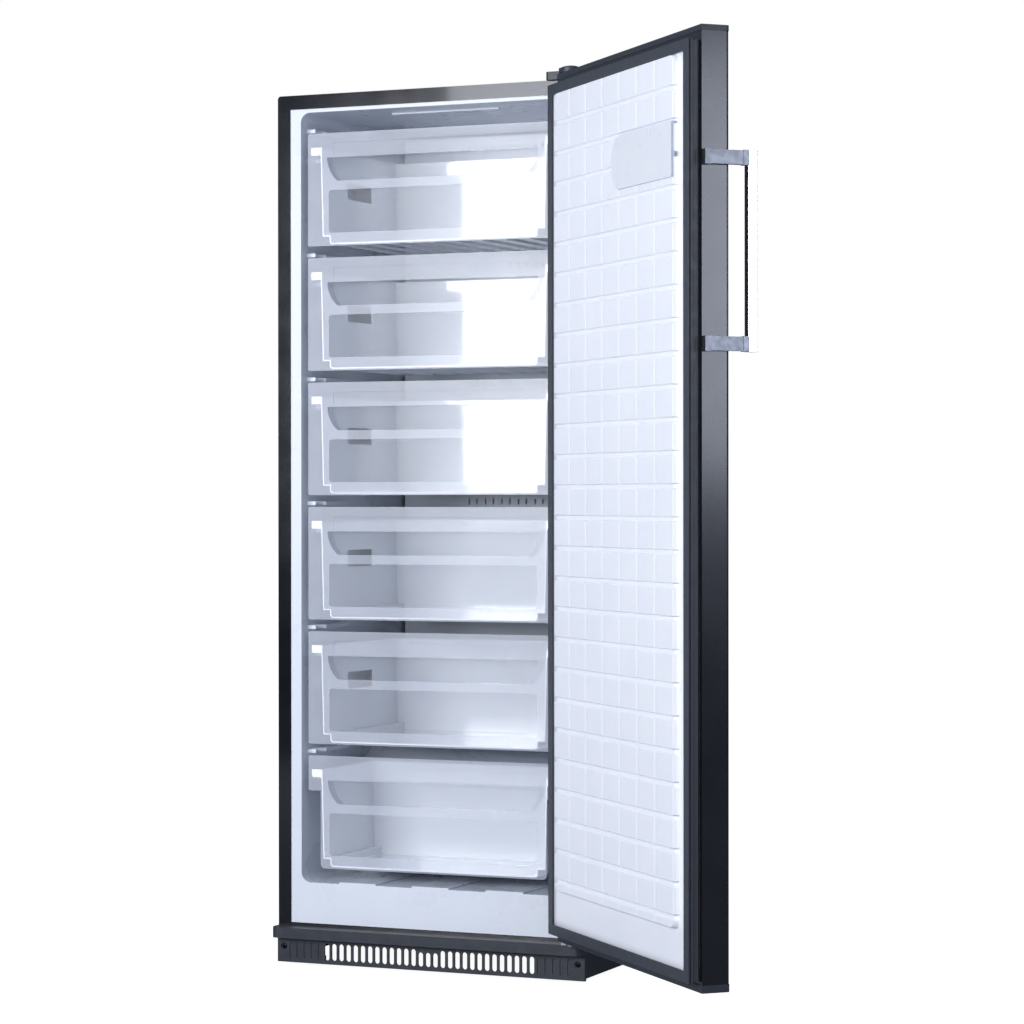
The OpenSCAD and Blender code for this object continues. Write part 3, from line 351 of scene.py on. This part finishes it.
# ---- Inner liner and air duct ---------------------------------------------------------------
# White high-impact polystyrene, vacuum-formed over a mould, so every edge is soft and the sheet
# has a faint orange peel. The duct panel is the same sheet, clipped in at the back.
liner_sheet = surface("vacuum_formed_polystyrene", ("#dbe1ec", "#e5eaf3"), 90, 0.3, 2.4, 0.02,
                      **{"Subsurface Weight": 0.05, "Subsurface Scale": 0.004})
placed("cabinet_liner", softened("inner_liner", 2.5, 3), "inner_liner", liner_sheet)
placed("air_duct", softened("duct_panel", 1.5), "duct_panel", liner_sheet)

# ---- Evaporator, fan and heater -------------------------------------------------------------
# Aluminium fins with a collar round each pass of an aluminium pipe. A moulded fan blows through
# the duct panel, and a glass heater under the coil melts the frost.
mill_aluminium = surface("mill_finish_aluminium", ("#c3c7cd", "#aeb3ba"), 12, 0.34, 0.8, 0.01, 0.08,
                         stretch=(1, 1, 0.15), Metallic=1.0)
glass_tube = surface("heater_glass", ("#c9cdd2", "#dde0e5"), 10, 0.1, 3.0, 0.005, 0.03,
                     **{"Transmission Weight": 0.6})
fan_plastic = surface("moulded_polypropylene_white", ("#dfe2e8", "#eceef3"), 25, 0.42, 1.0, 0.02)
fins = solids_of("evaporator_fins")
fin_middle, fin_low, fin_high = fins[0]
left_x, right_x = min(f[0].x for f in fins), max(f[0].x for f in fins)
tree, given = new_tree("finned_coil", Fins=14, Pitch=0.028, Tall=0.18, Deep=0.046, Sheet=0.001,
                       Passes=4, Pass_Pitch=0.044, First_Pass=0.024)
size = add_node(tree, "ShaderNodeCombineXYZ", {"X": given["Sheet"], "Y": given["Deep"], "Z": given["Tall"]})
plate = add_node(tree, "GeometryNodeMeshCube", {"Size": size.outputs[0]})
ring = add_node(tree, "GeometryNodeMeshCylinder", {"Vertices": 24, "Radius": 0.0058, "Depth": 0.005})
laid = add_node(tree, "GeometryNodeTransform", {"Geometry": ring.outputs[0], "Rotation": (0, math.pi / 2, 0)})
half_tall = add_node(tree, "ShaderNodeMath", {0: given["Tall"], 1: -0.5}, operation="MULTIPLY")
first = add_node(tree, "ShaderNodeMath", {0: half_tall.outputs[0], 1: given["First_Pass"]}, operation="ADD")
start = add_node(tree, "ShaderNodeCombineXYZ", {"Z": first.outputs[0]})
stride = add_node(tree, "ShaderNodeCombineXYZ", {"Z": given["Pass_Pitch"]})
passes = add_node(tree, "GeometryNodeMeshLine", {
    "Count": given["Passes"], "Start Location": start.outputs[0], "Offset": stride.outputs[0]})
collars = add_node(tree, "GeometryNodeInstanceOnPoints", {
    "Points": passes.outputs[0], "Instance": laid.outputs[0]})
stride = add_node(tree, "ShaderNodeCombineXYZ", {"X": given["Pitch"]})
row = add_node(tree, "GeometryNodeMeshLine", {"Count": given["Fins"], "Offset": stride.outputs[0]})
fin = joined(tree, plate.outputs[0], collars.outputs[0])
put = add_node(tree, "GeometryNodeInstanceOnPoints", {"Points": row.outputs[0], "Instance": fin})
end_tree(tree, put.outputs[0], mill_aluminium)
coil = grown(tree, bpy.data.meshes.new("coil"), {
    "Fins": len(fins), "Pitch": (right_x - left_x) / (len(fins) - 1), "Tall": fin_high.z - fin_low.z,
    "Deep": fin_high.y - fin_low.y, "Sheet": 0.0009, "Passes": 4, "Pass_Pitch": 0.044,
    "First_Pass": 0.024})
coil.transform(Matrix.Translation((left_x, fin_middle.y, fin_middle.z)))
placed("coil_fins", coil, "evaporator_fins")
placed("coil_pipe", softened("evaporator_tube", 0.2), "evaporator_tube", mill_aluminium)
placed("heater_rod", softened("defrost_heater", 0.6), "defrost_heater", glass_tube)
dark_plastic = surface("moulded_abs_graphite", ("#2b2e36", "#343842"), 20, 0.4, 0.9, 0.025, 0.05,
                       cells=True)
placed("motor", softened("fan_motor", 0.8), "fan_motor", dark_plastic)
placed("fan", softened("fan_blade", 0.5), "fan_blade", fan_plastic)

# ---- Insulation -----------------------------------------------------------------------------
# Polyurethane foamed in place between the liner and the outer sheet. It shows its cells.
cell_foam = surface("foamed_polyurethane", ("#d9c88f", "#c6b074"), 9, 0.9, 1.6, 0.5, 0.04, cells=True)
for name, node in (("cabinet_insulation", "cabinet_foam"), ("door_insulation", "door_foam")):
    placed(name, softened(node, 0.5, 1), node, cell_foam)

# ---- Base frame and bay wall ----------------------------------------------------------------
# Pressed steel under the cabinet, painted with the wrap. The bay wall is thin galvanised sheet
# that still shows its spangle.
galvanised = surface("galvanised_sheet", ("#a7abb1", "#bcc0c5"), 14, 0.4, 9.0, 0.01, 0.1, cells=True,
                     Metallic=1.0)
placed("base", softened("base_frame", 0.8), "base_frame", graphite_paint)
placed("bay_wall", softened("bay_bulkhead", 0.5), "bay_bulkhead", galvanised)

# ---- Compressor and pipes -------------------------------------------------------------------
# A welded two-part steel pot in black enamel on rubber feet, with a plastic relay cover, an
# evaporating tray on top, and drawn copper pipes with a spun copper drier.
black_paint = surface("dipped_black_enamel", ("#0d0e11", "#17181c"), 25, 0.32, 1.4, 0.03)
soft_rubber = surface("moulded_rubber", ("#141518", "#1e1f23"), 12, 0.62, 0.9, 0.04, 0.06, sheen=0.05)
tray_plastic = surface("moulded_polypropylene_grey", ("#7f848c", "#8b9098"), 25, 0.45, 1.2, 0.03)
copper = surface("drawn_copper", ("#b9714a", "#99583a"), 14, 0.3, 0.8, 0.01, 0.1, Metallic=1.0)
for name, node, edge_mm, finish in (
        ("pot", "compressor", 4.0, black_paint), ("pot_feet", "compressor_grommets", 1.0, soft_rubber),
        ("relay_cover", "relay_box", 1.5, dark_plastic), ("melt_tray", "drip_tray", 1.0, tray_plastic),
        ("drier", "filter_drier", 1.0, copper), ("suction_pipe", "suction_tube", 0.2, copper),
        ("hot_pipe", "discharge_tube", 0.2, copper)):
    placed(name, softened(node, edge_mm, 3), node, finish)

# ---- Rear cover -----------------------------------------------------------------------------
# A painted sheet over the compressor bay. Each slot has a hood pressed inwards behind it, so
# that air comes through and fingers don't.
_, cover_low, cover_high = solids_of("rear_cover")[0]
louvre_pitch, lowest_slot, top_margin = 0.016, 0.12, 0.06
tree, given = new_tree("pressed_louvres", Columns=5, Rows=8, Column_Pitch=0.095, Row_Pitch=0.016,
                       Wide=0.07, Reach=0.008, Lean=0.6)
steps = add_node(tree, "ShaderNodeMath", {0: given["Columns"], 1: -1.0}, operation="ADD")
wide = add_node(tree, "ShaderNodeMath", {0: steps.outputs[0], 1: given["Column_Pitch"]}, operation="MULTIPLY")
steps = add_node(tree, "ShaderNodeMath", {0: given["Rows"], 1: -1.0}, operation="ADD")
tall = add_node(tree, "ShaderNodeMath", {0: steps.outputs[0], 1: given["Row_Pitch"]}, operation="MULTIPLY")
field = add_node(tree, "GeometryNodeMeshGrid", {
    "Size X": wide.outputs[0], "Size Y": tall.outputs[0], "Vertices X": given["Columns"],
    "Vertices Y": given["Rows"]})
size = add_node(tree, "ShaderNodeCombineXYZ", {"X": given["Wide"], "Y": given["Reach"], "Z": 0.0008})
blade = add_node(tree, "GeometryNodeMeshCube", {"Size": size.outputs[0]})
lean = add_node(tree, "ShaderNodeCombineXYZ", {"X": given["Lean"]})
hood = add_node(tree, "GeometryNodeTransform", {"Geometry": blade.outputs[0],
                                                "Rotation": lean.outputs[0]})
upright = add_node(tree, "GeometryNodeTransform", {
    "Geometry": field.outputs[0], "Rotation": (math.pi / 2, 0, 0)})
put = add_node(tree, "GeometryNodeInstanceOnPoints", {"Points": upright.outputs[0],
                                                      "Instance": hood.outputs[0]})
end_tree(tree, put.outputs[0], graphite_paint)
louvre_rows = int((cover_high.z - top_margin - lowest_slot) / louvre_pitch) + 1
hood_mesh = grown(tree, bpy.data.meshes.new("louvres"), {
    "Columns": 5, "Rows": louvre_rows, "Column_Pitch": 0.095, "Row_Pitch": louvre_pitch, "Wide": 0.0716,
    "Reach": 0.0085, "Lean": -0.62})
hood_mesh.transform(Matrix.Translation((
    0, cover_low.y - 0.0034, lowest_slot + 0.0055 + (louvre_rows - 1) * louvre_pitch / 2)))
placed("rear_sheet", softened("rear_cover", 0.3, 1), "rear_cover", graphite_paint)
placed("rear_louvres", hood_mesh, "rear_cover")
placed("lead_gland", softened("cord_gland", 0.8), "cord_gland", soft_rubber)

# ---- Plinth, feet and rollers ---------------------------------------------------------------
# A moulded ledge and slotted plinth in dark grey plastic with a fine spark-eroded grain. The
# levelling feet are black rubber, and the rear rollers are the plinth's plastic on zinc axles.
placed("plinth", softened("plinth_grille", 0.7), "plinth_grille", dark_plastic)
for side in ("left", "right"):
    placed(f"levelling_foot_{side}", softened(f"foot_{side}", 1.0), f"foot_{side}", soft_rubber)
    placed(f"wheel_{side}", softened(f"roller_{side}", 1.0), f"roller_{side}", dark_plastic)
placed("axles", softened("roller_axles", 0.3), "roller_axles", zinc_plate)

# ---- Hinges ---------------------------------------------------------------------------------
# Pressed zinc-plated plates with turned pins. A moulded cover with a low round dome hides the
# top one. The door turns on white nylon bushes.
for name, node, edge_mm in (("hinge_plate_top", "top_hinge", 0.6), ("hinge_plate_foot", "bottom_hinge", 0.6),
                            ("hinge_bolts_top", "top_hinge_screws", 0.4),
                            ("hinge_bolts_foot", "bottom_hinge_screws", 0.4),
                            ("grip_bolts", "handle_screws", 0.3)):
    placed(name, softened(node, edge_mm), node, zinc_plate)
placed("hinge_cap", softened("hinge_cover", 1.2, 3), "hinge_cover", dark_plastic)
nylon = surface("turned_nylon", ("#d9dade", "#e6e7ea"), 5, 0.4, 0.5, 0.01)
placed("bushes", softened("door_bushes", 0.3), "door_bushes", nylon)

# ---- Door panel and caps --------------------------------------------------------------------
# Painted sheet like the cabinet's with a softer gloss, closed at the top and the foot by moulded
# caps.
door_paint = surface("stove_paint_graphite_door", ("#14161b", "#1d1f26"), 60, 0.27, 1.2, 0.006, 0.02,
                     Metallic=0.5, **{"Coat Weight": 0.5, "Coat Roughness": 0.14})
placed("door_skin", softened("door_panel", 1.0), "door_panel", door_paint)
placed("door_cap_top", softened("door_top_cap", 0.9), "door_top_cap", dark_plastic)
placed("door_cap_foot", softened("door_bottom_cap", 0.9), "door_bottom_cap", dark_plastic)

# ---- Door liner -----------------------------------------------------------------------------
# One vacuum-formed white sheet: a flat border, then a raised pad with rounded grooves across it
# and fine upright lines between them. A smooth shield with one round end is fixed on top. The
# sheet is drawn with the door closed, facing +Y, and then turned about the hinge pin.
pin = Vector((0.288, -0.042, 0.0))
hung = (Matrix.Translation(pin) @ Matrix.Rotation(math.radians(134.25), 4, "Z")
        @ Matrix.Translation(-pin))
border_y, pad_y = -0.0055, 0.005
pad_low, pad_high = Vector((-0.252, 0, 0.1715)), Vector((0.25, 0, 1.5225))
row_0, row_step, row_count = pad_low.z + 0.0182, 0.05125, 26
column_step, column_count = (pad_high.x - pad_low.x) / 7, 7


def stations(low, high, coarse, edges, marks, half, steps):
    """Cut lines from low to high: even ones, closer ones at the pad's edges and at the marks."""
    lines = {round(low + (high - low) * i / coarse, 6) for i in range(coarse + 1)}
    for at in edges:
        lines |= {round(at + 0.0011 * k, 6) for k in range(-2, 15)}
        lines |= {round(2 * at - (at + 0.0011 * k), 6) for k in range(-2, 15)}
    for at in marks:
        near = {round(at + half * (2 * k / steps - 1), 6) for k in range(steps + 1)}
        lines = {line for line in lines if abs(line - at) > half} | near
    kept = []
    for line in sorted(x for x in lines if low <= x <= high):
        if not kept or line - kept[-1] > 0.00025:
            kept.append(line)
    return kept


across = stations(-0.289, 0.289, 24, (pad_low.x, pad_high.x),
                  [pad_low.x + column_step * i for i in range(1, column_count)], 0.0026, 6)
upward = stations(0.0985, 1.537, 60, (pad_low.z, pad_high.z),
                  [row_0 + row_step * i for i in range(row_count)], 0.0054, 16)
points = [(x, 0.0, z) for z in upward for x in across]
wide = len(across)
faces = [(r * wide + c, (r + 1) * wide + c, (r + 1) * wide + c + 1, r * wide + c + 1)
         for r in range(len(upward) - 1) for c in range(wide - 1)]
flat_sheet = bpy.data.meshes.new("flat_sheet")
flat_sheet.from_pydata(points, [], faces)

tree, given = new_tree("quilted_pad", Row_Pitch=0.05, First_Row=0.19, Last_Row=1.4, Groove_Half=0.005,
                       Groove_Depth=0.003, Column_Pitch=0.07, Left=-0.25, Right=0.25, Foot=0.17,
                       Top=1.52, Line_Half=0.002, Line_Depth=0.0006, Border=-0.005, Rise=0.01,
                       Corner=0.014, Draft=0.003, Notch=0.003)


def calc(kind, a, b=0.0, c=0.0):
    """One sum on the pad's tree."""
    return add_node(tree, "ShaderNodeMath", {0: a, 1: b, 2: c}, operation=kind).outputs[0]


def eased(value, near, far, low, high):
    """Goes softly from low to high while the value goes from near to far."""
    return add_node(tree, "ShaderNodeMapRange", {
        "Value": value, "From Min": near, "From Max": far, "To Min": low, "To Max": high},
        interpolation_type="SMOOTHSTEP").outputs[0]


place = add_node(tree, "GeometryNodeInputPosition")
parts = add_node(tree, "ShaderNodeSeparateXYZ", {0: place.outputs[0]})
x, z = parts.outputs["X"], parts.outputs["Z"]
# How far a point is from the nearest groove and from the nearest upright line.
half_pitch = calc("MULTIPLY", given["Row_Pitch"], 0.5)
held = calc("MAXIMUM", calc("MINIMUM", z, calc("ADD", given["Last_Row"], half_pitch)),
            calc("SUBTRACT", given["First_Row"], half_pitch))
from_row = calc("PINGPONG", calc("SUBTRACT", held, given["First_Row"]), half_pitch)
groove = eased(from_row, given["Groove_Half"], calc("MULTIPLY", given["Groove_Half"], 0.5), 0.0, 1.0)
half_column = calc("MULTIPLY", given["Column_Pitch"], 0.5)
from_column = calc("PINGPONG", calc("SUBTRACT", x, given["Left"]), half_column)
line = eased(from_column, given["Line_Half"], 0.0, 0.0, 1.0)
line = calc("MULTIPLY", line, calc("SUBTRACT", 1.0, groove))
# How far it is inside the pad's outline, which has round corners and a notch at each groove.
middle_x = calc("MULTIPLY", calc("ADD", given["Left"], given["Right"]), 0.5)
half_x = calc("MULTIPLY", calc("SUBTRACT", given["Right"], given["Left"]), 0.5)
middle_z = calc("MULTIPLY", calc("ADD", given["Foot"], given["Top"]), 0.5)
half_z = calc("MULTIPLY", calc("SUBTRACT", given["Top"], given["Foot"]), 0.5)
out_x = calc("MAXIMUM", calc("ADD", calc("SUBTRACT", calc("ABSOLUTE", calc("SUBTRACT", x, middle_x)), half_x),
                             given["Corner"]), 0.0)
out_z = calc("MAXIMUM", calc("ADD", calc("SUBTRACT", calc("ABSOLUTE", calc("SUBTRACT", z, middle_z)), half_z),
                             given["Corner"]), 0.0)
reach = calc("POWER", calc("ADD", calc("MULTIPLY", out_x, out_x), calc("MULTIPLY", out_z, out_z)), 0.5)
inside = calc("SUBTRACT", given["Corner"], reach)
inside = calc("SUBTRACT", inside, calc("MULTIPLY", groove, given["Notch"]))
wall = eased(inside, 0.0, given["Draft"], 0.0, 1.0)
relief = calc("SUBTRACT", given["Rise"], calc("MULTIPLY", groove, given["Groove_Depth"]))
relief = calc("SUBTRACT", relief, calc("MULTIPLY", line, given["Line_Depth"]))
height = calc("ADD", given["Border"], calc("MULTIPLY", relief, wall))
spot = add_node(tree, "ShaderNodeCombineXYZ", {"X": x, "Y": height, "Z": z})
shaped = add_node(tree, "GeometryNodeSetPosition", {
    "Geometry": given["Geometry"], "Position": spot.outputs[0]})
smooth = add_node(tree, "GeometryNodeSetShadeSmooth", {"Geometry": shaped.outputs[0]})
door_sheet = surface("vacuum_formed_polystyrene_door", ("#eef1fb", "#f6f8fd"), 90, 0.36, 2.2, 0.02,
                     **{"Subsurface Weight": 0.05, "Subsurface Scale": 0.004})
end_tree(tree, smooth.outputs[0], door_sheet)
pad = grown(tree, flat_sheet, {
    "Row_Pitch": row_step, "First_Row": row_0, "Last_Row": row_0 + row_step * (row_count - 1),
    "Groove_Half": 0.0048, "Groove_Depth": 0.0036, "Column_Pitch": column_step, "Left": pad_low.x,
    "Right": pad_high.x, "Foot": pad_low.z, "Top": pad_high.z, "Line_Half": 0.0024,
    "Line_Depth": 0.0008, "Border": border_y, "Rise": pad_y - border_y, "Corner": 0.014,
    "Draft": 0.0014, "Notch": 0.0042})
work = bmesh.new()
work.from_mesh(pad)
rim = [edge for edge in work.edges if edge.is_boundary]
drawn = bmesh.ops.extrude_edge_only(work, edges=rim)["geom"]
bmesh.ops.translate(work, vec=(0, -0.0195, 0), verts=[v for v in drawn if isinstance(v, bmesh.types.BMVert)])
bmesh.ops.recalc_face_normals(work, faces=work.faces)
# The shield's round end is an arc that starts and ends on its straight sides.
shield_x, shield_z, shield_half, shield_r = -0.006, 1.376, 0.043, 0.045
arc_x, arc_end, arc_steps = shield_x - shield_r, 72.86, 32
side_x, straight_x = pad_low.x + 0.0024, arc_x + 0.0133
outline = [(side_x, -shield_half), (straight_x, -shield_half)]
for k in range(arc_steps + 1):
    turn = math.radians(arc_end * (2 * k / arc_steps - 1))
    outline.append((arc_x + shield_r * math.cos(turn), shield_r * math.sin(turn)))
outline += [(straight_x, shield_half), (side_x, shield_half)]
# From the pad upwards: how far each ring is inset, and its height. The lowest rings make a thin
#  lip outside the shield that carries the painted shadow line.
steps = ((-0.0012, pad_y - 0.0042), (-0.0012, pad_y + 0.0003), (0.0, pad_y + 0.0004),
         (0.0, pad_y + 0.0014), (0.0003, pad_y + 0.0018), (0.0009, pad_y + 0.002))
middle_u = (pad_low.x + shield_x) / 2
rings = []
for inset, y in steps:
    ring = []
    for u, v in outline:
        away = Vector((u - middle_u, v))
        away -= away.normalized() * inset
        ring.append(work.verts.new((middle_u + away.x, y, shield_z + away.y)))
    rings.append(ring)
for lower, upper in zip(rings, rings[1:]):
    for k in range(len(outline)):
        n = (k + 1) % len(outline)
        if (lower[k].co - lower[n].co).length > 1e-7:
            wall = work.faces.new((lower[k], lower[n], upper[n], upper[k]))
            # The walls and the lip get a darker grey: a painted shadow line round the shield.
            wall.material_index = 1
top = work.faces.new(rings[-1])
if top.normal.y < 0:
    top.normal_flip()
top.material_index = 2
work.to_mesh(pad)
work.free()
# A darker grey for the shield's walls and lip, painted shade standing for the shadow line at its edge.
pad.materials.append(surface("shield_edge_sheet", ("#b4bac8", "#c2c8d4"), 40, 0.3, 2.0, 0.01))
pad.materials.append(surface("smooth_shield_sheet", ("#e2e6ee", "#ecf0f5"), 40, 0.3, 2.0, 0.01))
pad.transform(hung)
placed("door_inner_sheet", pad, "door_liner")

# ---- Door seal ------------------------------------------------------------------------------
# Extruded soft PVC, joined square at the corners: a skirt with two ribs, a fold, and the flat
# face that meets the flange.
seal_pvc = surface("extruded_soft_pvc", ("#33363e", "#3c4049"), 15, 0.44, 0.8, 0.02, 0.06, sheen=0.05)
placed("magnet_seal", softened("door_gasket", 0.55, 3), "door_gasket", seal_pvc)

# ---- Handle ---------------------------------------------------------------------------------
# A square bar of polished aluminium on two cast arms with a darker satin finish. The bar's
# polishing lines run along it.
polished = surface("polished_aluminium", ("#d4d6da", "#e0e2e6"), 30, 0.13, 0.7, 0.004, 0.03,
                   stretch=(1, 1, 0.04), Metallic=1.0)
satin = surface("satin_cast_aluminium", ("#7a7d84", "#888b92"), 10, 0.4, 0.5, 0.012, 0.05, Metallic=1.0)
placed("grip_bar", softened("handle_bar", 0.7, 3), "handle_bar", polished)
for end in ("upper", "lower"):
    placed(f"grip_arm_{end}", softened(f"handle_bracket_{end}", 0.7, 3), f"handle_bracket_{end}", satin)

# ---- Drawers --------------------------------------------------------------------------------
# White injection-moulded tubs with a rim along each side. Each has a clear front with a sunk
#  grip, a clear window and a frosted frame round them, glued on. The tubs' front edges carry a painted glow.
front_skin_y, tub_front_y = 0.00965, 0.0125      # behind a pane's frosted skin and a tub's front edge
tub_plastic = surface("moulded_polystyrene_tub", ("#e6ebf3", "#eef2f8"), 60, 0.1, 3.0, 0.003, 0.02,
                      **{"Coat Weight": 0.8, "Coat Roughness": 0.05, "Coat IOR": 1.6,
                         "Subsurface Weight": 0.05, "Subsurface Scale": 0.003})


def see_through(name, tint, rough, least, most, cloud_mm, grain_mm, bump_mm):
    """Clear or frosted plastic: it covers more at its edges, and has faint clouds in it."""
    made, tree = new_material(name)
    where = add_node(tree, "ShaderNodeTexCoord")
    rim = add_node(tree, "ShaderNodeLayerWeight", {"Blend": 0.3})
    veil = add_node(tree, "ShaderNodeMapRange", {
        "Value": rim.outputs["Facing"], "To Min": least, "To Max": most})
    haze = add_node(tree, "ShaderNodeTexNoise", {
        "Vector": where.outputs["Object"], "Scale": 1000 / cloud_mm, "Detail": 3.0})
    cloud = add_node(tree, "ShaderNodeMapRange", {
        "Value": haze.outputs["Fac"], "To Min": 0.9, "To Max": 1.1})
    cover = add_node(tree, "ShaderNodeMath", {0: veil.outputs["Result"], 1: cloud.outputs["Result"]},
                     operation="MULTIPLY")
    grain = add_node(tree, "ShaderNodeTexNoise", {
        "Vector": where.outputs["Object"], "Scale": 1000 / grain_mm})
    bump = add_node(tree, "ShaderNodeBump", {"Height": grain.outputs["Fac"], "Distance": bump_mm / 1000})
    skin = add_node(tree, "ShaderNodeBsdfPrincipled", {
        "Base Color": rgba(tint), "Roughness": rough, "Alpha": cover.outputs[0],
        "Normal": bump.outputs["Normal"], "Specular IOR Level": 0.6})
    add_node(tree, "ShaderNodeOutputMaterial", {"Surface": skin.outputs[0]})
    return made


clear_plastic = see_through("clear_polystyrene", "#e8edf8", 0.05, 0.03, 0.6, 80, 3.0, 0.004)
frosted_plastic = see_through("frosted_polystyrene", "#e4e9f6", 0.25, 0.36, 0.8, 60, 0.8, 0.01)
# A brighter white with a faint emission: a painted glow for the bright rim that shows through the clear
# fronts.
painted_glow_edge = surface("polystyrene_edge_carrying_light", ("#f2f5fb", "#ffffff"), 20, 0.2, 1.0, 0.004,
                   **{"Emission Color": rgba("#eef3ff"), "Emission Strength": 0.45})
for n in range(1, 7):
    tub = softened(f"drawer_{n}_tub", 0.5)
    tub.materials.clear()
    tub.materials.append(tub_plastic)
    tub.materials.append(painted_glow_edge)
    for face in tub.polygons:
        # The faces at the tub's front edge that face forward take the painted glow.
        face.material_index = int(face.normal.y < -0.9 and face.center.y < tub_front_y)
    placed(f"tub_{n}", tub, f"drawer_{n}_tub")
    pane = softened(f"drawer_{n}_front", 0.5)
    pane.materials.clear()
    pane.materials.append(clear_plastic)
    pane.materials.append(frosted_plastic)
    for face in pane.polygons:
        face.material_index = int(face.normal.y < -0.9 and face.center.y < front_skin_y)
    placed(f"clear_front_{n}", pane, f"drawer_{n}_front")
